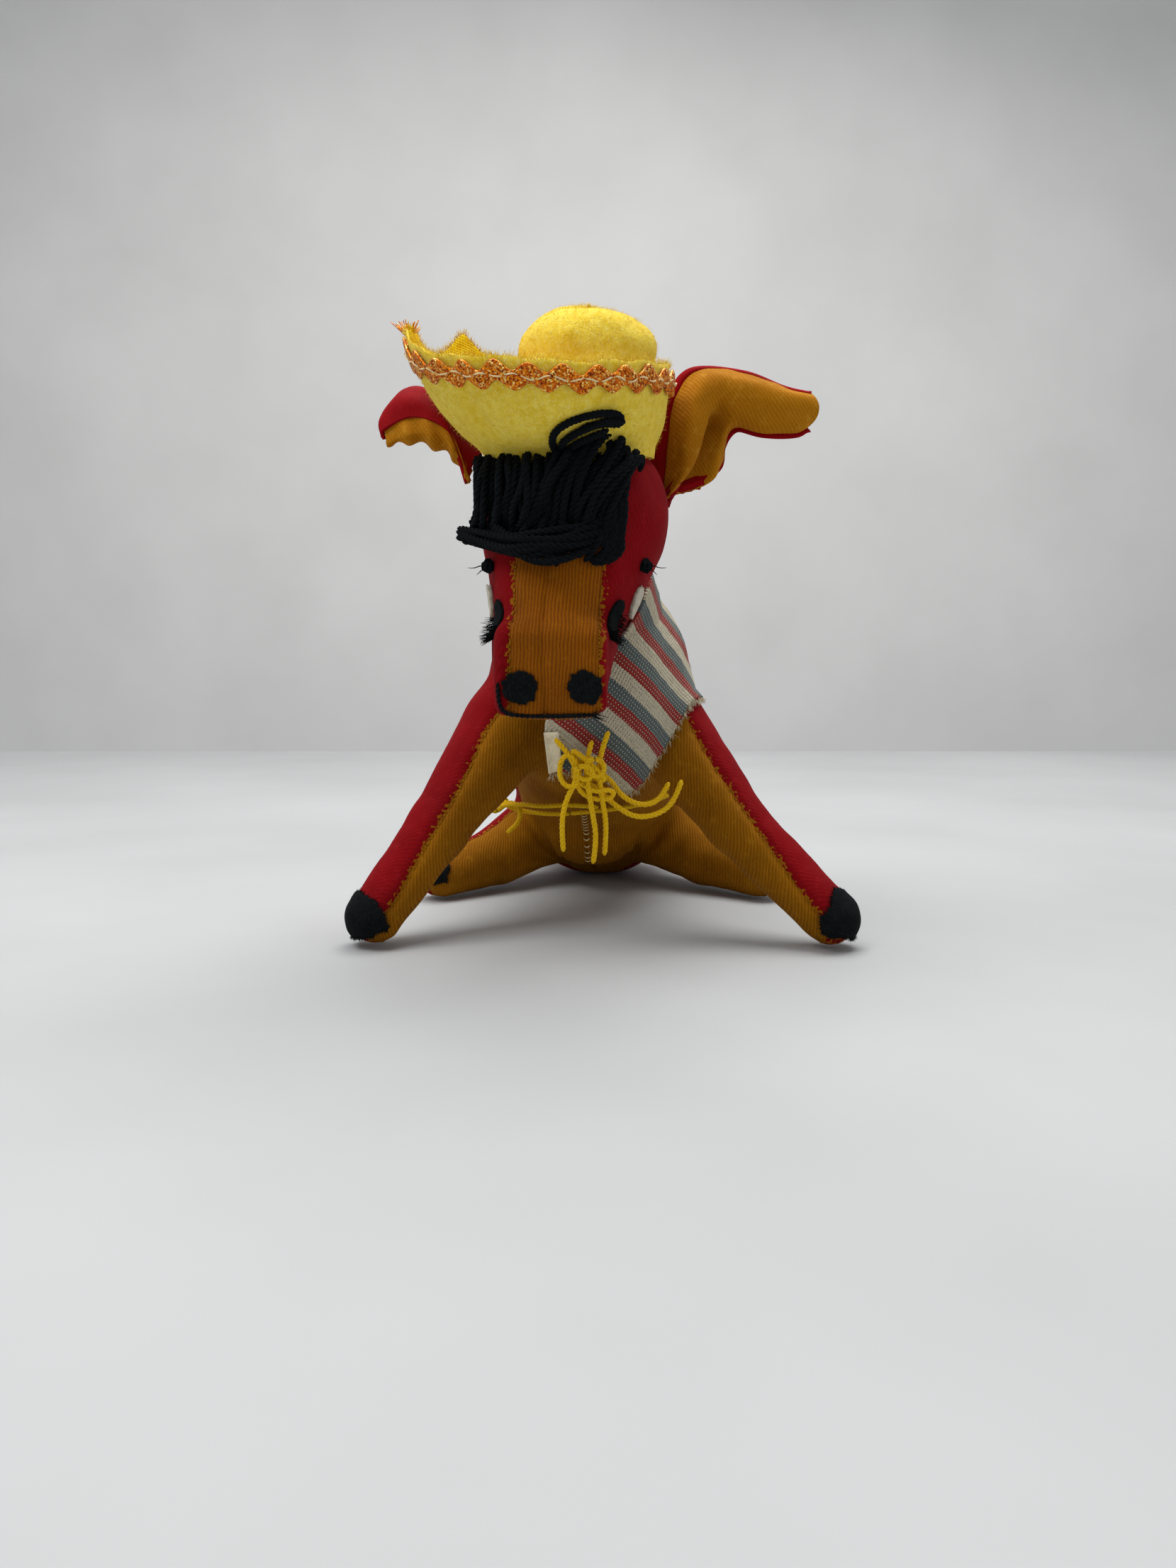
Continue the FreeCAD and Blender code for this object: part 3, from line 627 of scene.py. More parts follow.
def velveteen(name, base, deep, pale, rib_axis, rib_show, nap_show, teeth=None):
    """Ribbed velvet cotton: fine ribs with painted shade in their grooves, patchy nap and a few rubbed
    places.
    """
    s = Shader(name, 0.9, sheen=0.12, tint=pale)
    drift = s.math("MULTIPLY", s.math("SUBTRACT", s.noise(9, 2), 0.5), 0.0016)
    ribs = s.wave(s.math("ADD", s.dot(rib_axis), drift), RIB_PITCH)
    patches = s.noise(13, 4)
    nap = s.noise(2.2, 5)
    grain = s.noise(0.32, 3)
    cross = s.noise(0.5, 2, (1, 1, 0.25))
    # Painted shade in the rib grooves: the colour goes towards deep where the bump is low.
    colour = s.mix(s.math("MULTIPLY", ribs, rib_show), base, deep)
    colour = s.mix(s.remap(patches, 0.42, 0.72, 0.0, 0.45), colour, deep)
    colour = s.mix(s.remap(nap, 0.56, 0.78, 0.0, nap_show), colour, pale)
    colour = s.mix(s.remap(grain, 0.5, 0.8, 0.0, 0.35), colour, pale)
    if teeth:
        near = s.attribute("seam").outputs["Fac"]
        ragged = s.remap(s.noise(0.9, 1), 0.45, 0.68, 0.0, 1.3)
        colour = s.mix(s.math("GREATER_THAN", ragged, near), colour, teeth)
    height = s.math("ADD", s.math("MULTIPLY", ribs, -0.5 * rib_show - 0.12), s.math("MULTIPLY", grain, 0.5))
    height = s.math("ADD", height, s.math("MULTIPLY", cross, 0.35))
    return s.finish(colour, height, 0.22, 0.7)


def felt(name, base, deep, pale, weave=0.0, sheen=0.2):
    """Brushed felt: short matted fibres over a blotchy ground."""
    s = Shader(name, 0.95, sheen=sheen, tint=pale)
    ground = s.noise(1.6, 5)
    fibres = s.noise(0.35, 4, (1, 1.8, 0.6))
    blotches = s.noise(11, 3)
    colour = s.mix(s.remap(ground, 0.38, 0.72), base, deep)
    colour = s.mix(s.remap(fibres, 0.52, 0.75, 0.0, 0.75), colour, pale)
    colour = s.mix(s.remap(blotches, 0.5, 0.75, 0.0, 0.35), colour, deep)
    height = s.math("ADD", fibres, s.math("MULTIPLY", ground, 0.8))
    if weave:
        warp = s.wave(s.dot((1, 0.2, 0)), weave)
        weft = s.wave(s.dot((0, 0.35, 1)), weave)
        threads = s.math("MULTIPLY", warp, weft)
        colour = s.mix(s.math("MULTIPLY", threads, 0.4), colour, deep)
        height = s.math("SUBTRACT", height, threads)
    return s.finish(colour, height, 0.3, 0.75)


def yarn(name, base, pale, sheen=0.2, roughness=0.9):
    s = Shader(name, roughness, sheen=sheen, tint=pale)
    fibres = s.noise(0.3, 4)
    patches = s.noise(3.5, 2)
    colour = s.mix(s.remap(fibres, 0.45, 0.8, 0.0, 0.8), base, pale)
    colour = s.mix(s.remap(patches, 0.4, 0.7, 0.0, 0.5), colour, base)
    return s.finish(colour, fibres, 0.2, 0.8)


def braid_trim():
    """Glittering metallic rickrack: copper and gold flecks, with painted glints as scattered pale-gold
    flecks.
    """
    s = Shader("trim_glitter", 0.34, sheen=0.05, metallic=0.55)
    cells = s.nodes.new("ShaderNodeTexVoronoi")
    cells.inputs["Scale"].default_value = 1000 / 0.34
    s.links.new(s.place, cells.inputs["Vector"])
    split = s.nodes.new("ShaderNodeSeparateColor")
    s.links.new(cells.outputs["Color"], split.inputs[0])
    colour = s.mix(s.remap(split.outputs[0], 0.2, 0.9), linear(196, 84, 12), linear(246, 150, 24))
    # Painted glints: cells with a high green value turn pale gold, as if they caught the light.
    colour = s.mix(s.remap(split.outputs[1], 0.72, 0.95), colour, linear(255, 226, 130))
    colour = s.mix(s.remap(split.outputs[2], 0.75, 0.95), colour, linear(120, 40, 8))
    return s.finish(colour, split.outputs[1], 0.12, 0.9)


def woven_stripes():
    """Coarse plain weave in three colours; the attribute flat holds each point's place in the cut cloth."""
    s = Shader("blanket_weave", 0.95, sheen=0.1)
    split = s.nodes.new("ShaderNodeSeparateXYZ")
    s.links.new(s.attribute("flat").outputs["Vector"], split.inputs[0])
    across = split.outputs[0]
    along = split.outputs[1]
    wobble = s.math("MULTIPLY", s.math("SUBTRACT", s.noise(2.4, 2), 0.5), 0.5)
    share = s.math("FRACT", s.math("DIVIDE", s.math("ADD", across, wobble), 10.5))
    ramp = s.nodes.new("ShaderNodeValToRGB")
    ramp.color_ramp.interpolation = "CONSTANT"
    stripes = [(0.0, linear(206, 196, 168)), (0.36, linear(154, 26, 18)), (0.66, linear(88, 104, 104))]
    for index, (start, colour) in enumerate(stripes):
        stop = ramp.color_ramp.elements[index] if index < 2 else ramp.color_ramp.elements.new(start)
        stop.position = start
        stop.color = (*colour, 1)
    s.links.new(share, ramp.inputs[0])
    warp = s.math("MULTIPLY_ADD", s.math("SINE", s.math("MULTIPLY", across, 2 * math.pi / 1.02)), 0.5, 0.5)
    weft = s.math("MULTIPLY_ADD", s.math("SINE", s.math("MULTIPLY", along, 2 * math.pi / 0.85)), 0.5, 0.5)
    cloth = s.math("MULTIPLY", warp, weft)
    fleck = s.noise(0.7, 3)
    dash = s.remap(s.math("MULTIPLY_ADD", fleck, 0.25, cloth), 0.68, 0.95, 0.0, 0.75)
    # Painted shade in the gaps between threads: grey brown where the weave is low.
    gap = s.remap(cloth, 0.0, 0.2, 0.3, 0.0)
    colour = s.mix(dash, ramp.outputs[0], linear(220, 212, 192))
    colour = s.mix(gap, colour, linear(92, 84, 76))
    colour = s.mix(s.remap(fleck, 0.5, 0.78, 0.0, 0.4), colour, linear(96, 84, 78))
    return s.finish(colour, s.math("ADD", cloth, s.math("MULTIPLY", fleck, 0.5)), 0.45, 1.0)


def floor_material(name, base, deep):
    s = Shader(name, 0.6)
    return s.finish(s.mix(s.remap(s.noise(120, 3), 0.3, 0.7), base, deep), s.noise(1.5, 3), 0.05, 0.1)


RED = velveteen("red_velvet", linear(130, 0, 8), linear(82, 0, 4), linear(156, 26, 34),
                (0, 0.94, 0.34), 0.25, 0.35, teeth=linear(146, 90, 6))
RED_PLAIN = velveteen("red_velvet_ear", linear(144, 0, 10), linear(92, 0, 4), linear(164, 30, 38),
                      (1, 0.2, 0), 0.2, 0.25)
GOLD = velveteen("gold_velvet", linear(152, 96, 2), linear(98, 56, 0), linear(176, 122, 22),
                 (1, 0, 0), 0.6, 0.4)
# Darker, more orange copy of the gold velveteen for the face strip: painted shade of the hat over the face.
GOLD_SHADED_FACE = velveteen("gold_velvet_face_painted_shade", linear(148, 82, 0), linear(92, 45, 0), linear(166, 104, 10),
                      (0.99, 0, -0.06), 0.7, 0.3)
# Lighter copy of the gold velveteen for the ear linings: painted light on the ears at the top of the head.
GOLD_LIT_EAR = velveteen("gold_velvet_ear_painted_light", linear(176, 114, 6), linear(128, 72, 0), linear(204, 150, 50),
                     (0.8, 0, 0.6), 0.35, 0.45)
BLACK_FELT = felt("felt_black", linear(10, 14, 15), linear(4, 5, 6), linear(30, 35, 36), sheen=0.06)
CREAM_FELT = felt("felt_cream", linear(206, 200, 182), linear(170, 162, 142), linear(228, 222, 206))
HAT_FELT = felt("felt_hat", linear(240, 212, 74), linear(226, 188, 22), linear(248, 236, 158))
HAT_INNER = felt("felt_hat_inside", linear(236, 198, 8), linear(206, 150, 2), linear(244, 222, 70),
                 weave=0.75)
BLACK_YARN = yarn("yarn_black", linear(5, 8, 11), linear(25, 33, 39), sheen=0.08)
CREAM_THREAD = yarn("thread_cream", linear(236, 214, 160), linear(255, 244, 214))
BLACK_THREAD = yarn("thread_black", linear(12, 12, 14), linear(50, 50, 54))
YELLOW_CORD = yarn("cord_yellow", linear(226, 178, 4), linear(246, 216, 50), sheen=0.05, roughness=0.45)
GLITTER = braid_trim()
BLANKET = woven_stripes()
LABEL = felt("label_tape_weave", linear(226, 216, 184), linear(206, 194, 160), linear(240, 232, 206))
STUFFING = felt("kapok", linear(222, 206, 170), linear(190, 170, 130), linear(240, 230, 204))


# ---------------------------------------------------------------- cords
def rope_cord(name):
    """A free cord of three strands that follows the route's smooth curve."""
    line = even(nurbs_line(CORD_ROUTES[name]), 0.0004)
    points, faces = twist(line / MM, CORD_D / MM / 2, CORD_LAY, taper=0.8)
    rope = piece(f"{name}_rope", points, faces, YELLOW_CORD, "body", "yellow_cord", [name])
    return rope, line


def make_cords():
    for name in CORD_ROUTES:
        rope, line = rope_cord(name)


def knot_loops(centre, loops, radius):
    """Turns of cord pulled tight round one another."""
    parts = []
    for tilt, spin, wide, tall, shift in loops:
        angle = np.linspace(0, 2 * math.pi, 16, endpoint=False)
        ring = np.stack([np.cos(angle) * wide, np.sin(angle) * 0.45 * np.sin(2 * angle),
                         np.sin(angle) * tall], 1)
        turn = math.radians(tilt)
        x = ring[:, 0] * math.cos(turn) - ring[:, 2] * math.sin(turn)
        z = ring[:, 0] * math.sin(turn) + ring[:, 2] * math.cos(turn)
        lean = math.radians(spin)
        y = ring[:, 1] * math.cos(lean) + x * math.sin(lean)
        x = x * math.cos(lean) - ring[:, 1] * math.sin(lean)
        line = np.stack([x, y, z], 1) + np.array(centre) + np.array(shift)
        line = even(nurbs_line(line.tolist(), closed=True), 0.5, closed=True)
        parts.append(twist(line, radius, CORD_LAY, closed=True))
    return join(parts)


def slack_turns(centre, turns):
    """Closed turns of cord laid by hand about a knot's middle."""
    parts = []
    for route in turns:
        line = nurbs_line((np.array(route) + np.array(centre)).tolist(), closed=True)
        parts.append(twist(even(line, 0.5, closed=True), CORD_D / MM / 2, CORD_LAY, closed=True))
    return join(parts)
# Closed turns of cord laid along given routes about a knot's middle.


def make_knots():
    points, faces = slack_turns(TASSEL_KNOT, TASSEL_TURNS)
    piece("tassel_knot_turns", points, faces, YELLOW_CORD, "body", "yellow_cord", ["tassel_knot"])
    stub = even(nurbs_line((np.array(GIRTH_STUB) + np.array(GIRTH_KNOT)).tolist()), 0.4)
    points, faces = join([slack_turns(GIRTH_KNOT, GIRTH_TURNS),
                          twist(stub, CORD_D / MM / 2, CORD_LAY, taper=0.8)])
    piece("girth_knot_turns", points, faces, YELLOW_CORD, "body", "yellow_cord", ["girth_knot"])
    line = even(nurbs_line(GIRTH_LOOP, closed=True), 0.5, closed=True)
    close = body_distance(line)
    line = np.where((close < 0.9)[:, None], settle(line, 0.9), line)
    points, faces = twist(line, CORD_D / MM / 2, CORD_LAY, closed=True)
    piece("girth_rope", points, faces, YELLOW_CORD, "body", "yellow_cord", ["girth_cord"])


# ---------------------------------------------------------------- sewn body
def make_body():
    points, triangles = read_surface((-70, -150, -2), (70, 32, 128), BODY_STEP)
    for level in (face_side, gusset_side, left_side):
        points, triangles = cut_along(points, triangles, level)
    face = face_side(points)
    gusset = gusset_side(points)
    middle = left_side(points)
    normals = slope(points)
    seam = np.minimum(np.abs(face), np.abs(gusset))
    covered = np.minimum(face, 0) + np.minimum(gusset, 0)
    seam = np.where(covered < -0.01, np.minimum(seam, np.abs(middle) * 1.2 + 0.4), seam)
    seam = np.minimum(seam, np.where(gusset > 0, np.abs(middle) * 1.2 + 0.4, 99))
    hang = wrinkle(points, 11) * 0.45 + wrinkle(points, 5.2, 3.1) * 0.2
    groin = np.minimum(np.linalg.norm(points - (-19, -28, 17), axis=1),
                       np.linalg.norm(points - (19, -28, 17), axis=1))
    around_groin = np.arctan2(points[:, 2] - 6, np.abs(points[:, 0]) - 12)
    fold = np.sin(around_groin * 10) * np.exp(-(groin / 11) ** 2) * 0.9
    resting = np.clip(points[:, 2] / 3, 0, 1)
    groove = 0.75 * np.exp(-(seam / 1.1) ** 2)
    points = points + normals * ((hang + fold) * resting - groove * resting)[:, None]
    points[:, 2] = np.maximum(points[:, 2], 0.05)
    is_face = face[triangles].sum(axis=1) > 0
    is_gusset = (gusset[triangles].sum(axis=1) > 0) & ~is_face
    is_side = ~is_face & ~is_gusset
    is_left = middle[triangles].sum(axis=1) > 0
    toothed = np.minimum(np.abs(face), np.abs(gusset))
    choice = {
        "face_strip": (is_face, GOLD_SHADED_FACE, "gold_velveteen", "face_gusset"),
        "under_gusset_right_cloth": (is_gusset & ~is_left, GOLD, "gold_velveteen", "under_gusset_right"),
        "under_gusset_left_cloth": (is_gusset & is_left, GOLD, "gold_velveteen", "under_gusset_left"),
        "side_panel_right_cloth": (is_side & ~is_left, RED, "red_velveteen", "side_panel_right"),
        "side_panel_left_cloth": (is_side & is_left, RED, "red_velveteen", "side_panel_left"),
    }
    for name, (wanted, material, slot, node) in choice.items():
        shell, faces, used, rim = thicken(points, triangles[wanted], normals, 0.0, -FABRIC)
        obj = piece(name, shell, faces, material, "body", slot, [node])
        values = np.concatenate([toothed[used], toothed[used]]).astype(np.float32)
        obj.data.attributes.new("seam", "FLOAT", "POINT").data.foreach_set("value", values)
    return points, triangles, face, gusset, normals


def seam_fuzz(points, triangles, face, gusset):
    """Short gold pile tips that poke through the seams, as small pointed tufts."""
    parts = []
    for level, gap in ((gusset, 0.42), (face, 0.5)):
        values = level[triangles]
        near = np.where((np.abs(values).min(axis=1) < 1e-3) & (values.max(axis=1) > 0.2))[0]
        for index in near:
            if chance.random() > gap:
                continue
            corner = points[triangles[index]]
            on_seam = corner[np.abs(values[index]).argmin()]
            away = on_seam - corner.mean(axis=0)
            away /= np.linalg.norm(away) + 1e-9
            out = np.cross(corner[1] - corner[0], corner[2] - corner[0])
            out /= np.linalg.norm(out) + 1e-9
            side = np.cross(out, away)
            reach = chance.uniform(0.25, 0.75)
            foot = on_seam - away * 0.5 + out * 0.2
            tip = on_seam + away * reach + out * chance.uniform(0.1, 0.35)
            wide = chance.uniform(0.14, 0.26)
            parts.append(([foot + side * wide, foot - side * wide, foot - out * 0.5, tip],
                          [(0, 1, 3), (1, 2, 3), (2, 0, 3), (0, 2, 1)]))
    cloud, faces = join(parts)
    piece("seam_pile", cloud, faces, GOLD, "body", "gold_velveteen", smooth=False)


def make_stuffing():
    """The wads inside, each a little smaller than the cloth round it."""
    def trunk(p):
        return np.minimum(cone_distance(p, RUMP, CHEST), cone_distance(p, NECK_LOW, NECK_HIGH))

    wads = {"body": (trunk, (-34, -128, -2), (30, 30, 120)),
            "head": (lambda p: np.maximum(cone_distance(p, SKULL, MUZZLE), p[..., 1] + 113),
                     (-32, -148, 54), (18, -108, 126))}
    for name, (hip, knee, foot) in LEGS.items():
        balls = np.array([hip[0], knee[0], foot[0]])

        def leg(p, hip=hip, knee=knee, foot=foot):
            limb = np.minimum(cone_distance(p, hip, knee), cone_distance(p, knee, foot))
            return np.maximum(limb, 2.5 - trunk(p))

        wads[f"{name}_leg"] = (leg, balls.min(axis=0) - 14, balls.max(axis=0) + 14)
    for name, (inside, low, high) in wads.items():
        def distance(p, inside=inside):
            return soft_max(inside(p) + 1.6, body_distance(p) + 2.6, 1.5)

        points, triangles = read_surface(tuple(low), tuple(high), 1.9, distance)
        points = points + slope(points, distance) * (wrinkle(points, 5.0, 9.0) * 0.3)[:, None]
        wad = piece(f"{name}_wad", points, triangles, STUFFING, "body", "stuffing", [f"{name}_stuffing"])


# ---------------------------------------------------------------- hooves and face
def patch(centre, axis, reach, rings=16, sectors=90, lift=0.0):
    """Points spread over the body round an axis, out to a reach in degrees for each direction."""
    axis = np.array(axis, float) / np.linalg.norm(axis)
    side = np.cross(axis, (0, 0, 1.0))
    side /= np.linalg.norm(side)
    up = np.cross(side, axis)
    rows = []
    for ring in range(1, rings + 1):
        row = []
        for sector in range(sectors):
            around = 2 * math.pi * sector / sectors
            angle = math.radians(reach(around)) * ring / rings
            outwards = side * math.cos(around) + up * math.sin(around)
            direction = axis * math.cos(angle) + outwards * math.sin(angle)
            row.append(direction)
        rows.append(row)
    directions = np.concatenate([[axis], np.array(rows).reshape(-1, 3)])
    places = np.array(centre, float) + directions * 5
    for _ in range(14):
        places = places - directions * (body_distance(places) - lift)[:, None]
    triangles = [(0, 1 + (s + 1) % sectors, 1 + s)[::-1] for s in range(sectors)]
    for ring in range(rings - 1):
        low = 1 + ring * sectors
        high = low + sectors
        for s in range(sectors):
            t = (s + 1) % sectors
            triangles += [(low + s, low + t, high + t), (low + s, high + t, high + s)]
    triangles = np.array(triangles)
    corner = places[triangles]
    facing = np.cross(corner[:, 1] - corner[:, 0], corner[:, 2] - corner[:, 0])
    if (facing * (corner.mean(axis=1) - centre)).sum() < 0:
        triangles = triangles[:, ::-1]
    return places, triangles


def bristles(roots, directions, length, thickness, droop=0.0, spread_by=0.5):
    """Short tapering hairs."""
    parts = []
    for root, direction in zip(roots, directions):
        lean = np.array([chance.gauss(0, spread_by) for _ in range(3)])
        way = direction + lean
        way /= np.linalg.norm(way) + 1e-9
        reach = chance.uniform(*length)
        steps = np.linspace(0, 1, 4)[:, None]
        line = root + way * steps * reach + np.array([0, 0, -droop]) * (steps ** 2) * reach
        parts.append(skin(line, thickness * np.array([1, 0.8, 0.6, 0.25]), 3))
    return join(parts)


def above_sole(places):
    """Positive above the ragged lower edge of the hoof patches."""
    inward = np.clip(56 - np.abs(places[:, 0]), -6, 8)
    return places[:, 2] - 4.4 - inward * 0.22 - wrinkle(places, 2.6, 4.0) * 0.9


def make_hooves():
    for name, (hip, knee, foot) in LEGS.items():
        axis = np.array(foot[0], float) - np.array(knee[0], float)
        axis = axis / np.linalg.norm(axis) + np.array([0, 0, 0.5])
        axis /= np.linalg.norm(axis)
        wide = 84 if name.startswith("front") else 62
        seed = chance.uniform(0, 90)
        def reach(around, seed=seed, wide=wide):
            spot = Vector((math.cos(around) * 4, math.sin(around) * 4, seed))
            spike = abs(noise.noise(spot * 2.3)) * 9
            return wide + noise.noise(spot * 0.5) * 9 + spike

        centre = np.array(foot[0], float)
        places, triangles = patch(centre, axis, reach, rings=20, sectors=120)
        places, triangles = cut_along(places, triangles, above_sole)
        height = above_sole(places)
        kept = triangles[height[triangles].sum(axis=1) > 0]
        normals = slope(places)
        places = places + normals * (wrinkle(places, 2.4, 8.0) * 0.15)[:, None]
        shell, faces, used, rim = thicken(places, kept, normals, 0.85, -0.1)
        border = used[np.unique(rim.reshape(-1))]
        roots = []
        ways = []
        for index in border:
            for _ in range(3):
                outward = places[index] - centre
                outward /= np.linalg.norm(outward)
                back = -axis / np.linalg.norm(axis)
                roots.append(places[index] + normals[index] * chance.uniform(0.1, 0.7))
                ways.append(back * 0.8 + normals[index] * 0.35 if places[index][2] > 5.6
                            else np.array([0, 0, -0.3]) + outward * 0.4)
        hairs = bristles(roots, ways, (0.3, 1.3), 0.07)
        points, faces = join([(shell, faces), hairs])
        points[:, 2] = np.maximum(points[:, 2], 0.1)
        piece(f"{name}_hoof_felt", points, faces, BLACK_FELT, "body", "black_felt", [f"{name}_hoof"])


def face_patch(name, centre, outward, width, height, slant, material, slot, node, ragged=0.3, fringe=None):
    """A felt patch that lies on the head: an oval or a strip, with a rough cut edge."""
    outward = np.array(outward, float) / np.linalg.norm(outward)
    side = np.cross(outward, (0, 0, 1.0))
    side /= np.linalg.norm(side)
    up = np.cross(side, outward)
    turn = math.radians(slant)
    wide_way = side * math.cos(turn) + up * math.sin(turn)
    tall_way = -side * math.sin(turn) + up * math.cos(turn)
    rings = 10
    sectors = 72
    seed = chance.uniform(0, 50)
    flat = [np.zeros(2)]
    for ring in range(1, rings + 1):
        for sector in range(sectors):
            around = 2 * math.pi * sector / sectors
            tear = noise.noise(Vector((math.cos(around) * 3, math.sin(around) * 3, seed)))
            rough = 1 + ragged * 0.25 * tear
            shape = (abs(math.cos(around)) ** 2.3 + abs(math.sin(around)) ** 2.3) ** (-1 / 2.3)
            oval = np.array((math.cos(around) * width / 2, math.sin(around) * height / 2))
            flat.append(oval * shape * rough * ring / rings)
    flat = np.array(flat)
    places = np.array(centre, float) + flat[:, :1] * wide_way + flat[:, 1:] * tall_way
    places = settle(places, 0.0, 5)
    triangles = [(0, 1 + s, 1 + (s + 1) % sectors) for s in range(sectors)]
    for ring in range(rings - 1):
        low = 1 + ring * sectors
        high = low + sectors
        for s in range(sectors):
            t = (s + 1) % sectors
            triangles += [(low + s, high + t, low + t), (low + s, high + s, high + t)]
    triangles = np.array(triangles)
    normals = slope(places)
    corner = places[triangles]
    facing = np.cross(corner[:, 1] - corner[:, 0], corner[:, 2] - corner[:, 0])
    if (facing * outward).sum() < 0:
        triangles = triangles[:, ::-1]
    places = places + normals * (wrinkle(places, 1.6, seed) * 0.14)[:, None]
    shell, faces, used, rim = thicken(places, triangles, normals, PATCH * 0.85, -0.2)
    parts = [(shell, faces)]
    edge = range(1 + (rings - 1) * sectors, 1 + rings * sectors)
    if fringe:
        roots = []
        ways = []
        for index in edge:
            away = places[index] - places[0]
            away /= np.linalg.norm(away)
            if away @ np.array(fringe, float) < 0.15:
                continue
            for _ in range(5):
                roots.append(places[index] + normals[index] * chance.uniform(0.1, 0.7))
                ways.append(np.array(fringe, float) + normals[index] * 0.7)
        parts.append(bristles(roots, ways, (1.2, 3.0), 0.09, spread_by=0.35))
    else:
        roots = [places[index] + normals[index] * chance.uniform(0.1, 0.7)
                 for index in edge for _ in range(2)]
        ways = [places[index] - places[0] for index in edge for _ in range(2)]
        parts.append(bristles(roots, [way / np.linalg.norm(way) for way in ways], (0.2, 0.6), 0.05))
    points, faces = join(parts)
    return piece(name, points, faces, material, "body", slot, [node])


def on_head(height, bearing):
    """Point of the head's surface at a height, in a direction from straight ahead."""
    share = (SKULL[0][2] - height) / (SKULL[0][2] - MUZZLE[0][2])
    centre = np.array(SKULL[0]) + (np.array(MUZZLE[0]) - np.array(SKULL[0])) * share
    outward = np.array([math.sin(math.radians(bearing)), -math.cos(math.radians(bearing)), 0])
    place = centre.copy()
    for _ in range(30):
        place = place - outward * body_distance(place[None, :])[0]
    return place, outward


def strand(route, radius=YARN_R, lay=3.2, plies=3, fuzz=0, taper=1.2):
    """A plied yarn along a route, with stray fibres."""
    line = even(nurbs_line(route, steps=8), 0.5)
    parts = [twist(line, radius, lay, plies, around=5, taper=taper)]
    if fuzz:
        picks = [line[chance.randrange(len(line))] for _ in range(fuzz)]
        ways = [np.array([chance.gauss(0, 1), chance.gauss(0, 1), chance.gauss(0, 1)]) for _ in picks]
        ways = [way / np.linalg.norm(way) for way in ways]
        parts.append(bristles(picks, ways, (0.8, 2.4), 0.035, droop=0.3))
    return join(parts)


def make_face():
    for side, x in (("right", -18.4), ("left", -4.6)):
        face_patch(f"nostril_{side}_felt", (x, -144, 65), (0, -1, 0), 7.2, 6.9, 8, BLACK_FELT, "black_felt",
                   f"nostril_{side}", ragged=0.9)
    for side, sign in (("right", -1), ("left", 1)):
        place, outward = on_head(83.6, sign * 86)
        face_patch(f"eye_white_{side}_felt", place, outward, 5.6, 7.6, 0, CREAM_FELT, "cream_felt",
                   f"eye_white_{side}")
        place, outward = on_head(79.6, sign * 57)
        face_patch(f"lash_{side}_felt", place + outward * 0.5, outward, 3.6, 9.6, sign * 30, BLACK_FELT,
                   "black_felt", f"lash_{side}", fringe=(sign * 0.7, 0.1, -0.6))
        place, outward = on_head(91.4, sign * 65)
        middle = place + outward * 1.0
        turns = [(10, 0, 1.1, 0.9, (0, 0, 0)), (60, 50, 1.1, 0.8, (0, 0, 0.3)),
                 (-40, -60, 1.0, 0.9, (0, 0, -0.2))]
        parts = [knot_loops(middle, turns, 0.6)]
        tail = [middle, middle + (sign * 1.6, -0.6, 0.2), middle + (sign * 3.0, -1.0, -0.6),
                middle + (sign * 4.4, -1.0, -0.4)]
        parts.append(strand(tail, 0.16, 1.2, 2))
        tail = [middle, middle + (sign * 1.4, -0.9, -0.8), middle + (sign * 2.4, -1.4, -2.0)]
        parts.append(strand(tail, 0.16, 1.2, 2))
        points, faces = join(parts)
        piece(f"temple_knot_{side}_yarn", points, faces, BLACK_YARN, "body", "black_yarn",
              [f"temple_knot_{side}"])
    route = []
    for x, z in ((-24.2, 66.0), (-23.9, 61.2), (-22.2, 58.2), (-18, 57.3), (-12, 57.1), (-7, 57.3),
                 (-2.6, 57.8)):
        route.append(settle(np.array([[x, -145.0, z]]), 0.25, 8)[0])
    parts = [strand(route, 0.55, 2.2, 2, fuzz=60)]
    tip = route[-1]
    for _ in range(16):
        end = tip + (chance.uniform(0.6, 3.2), chance.uniform(-1.6, 0.2), chance.uniform(-1.8, 1.2))
        middle = (tip + end) / 2 + (0, 0, chance.uniform(-0.5, 0.5))
        parts.append(strand([tip + (-0.6, 0.2, 0), middle, end], 0.14, 1.4, 2))
    points, faces = join(parts)
    piece("mouth_yarn", points, faces, BLACK_THREAD, "body", "black_yarn", ["mouth_thread"])


# ---------------------------------------------------------------- yarn of forelock, mane and tail
def over_head(x, z, lift):
    """Point in front of the head at x and z, a distance off its surface."""
    place = np.array([x, -150.0, z])
    for _ in range(30):
        place = place + np.array([0, 1, 0]) * (body_distance(place[None, :])[0] - lift) * 0.8
        if place[1] > -128 + abs(x + 10) * 0.15:
            place[1] = -128 + abs(x + 10) * 0.15
            break
    return place


def fall(places, lifts, fuzz=6, radius=YARN_R):
    """A yarn over the forehead through places (x, z), each a distance off the head."""
    last = len(places) - 1
    route = []
    for index, ((x, z), lift) in enumerate(zip(places, lifts)):
        sway = 0.75 if 0 < index < last else 0.2
        route.append(over_head(x + chance.gauss(0, sway), z + chance.gauss(0, sway), lift))
    return strand(route, radius, 4.2, fuzz=fuzz)


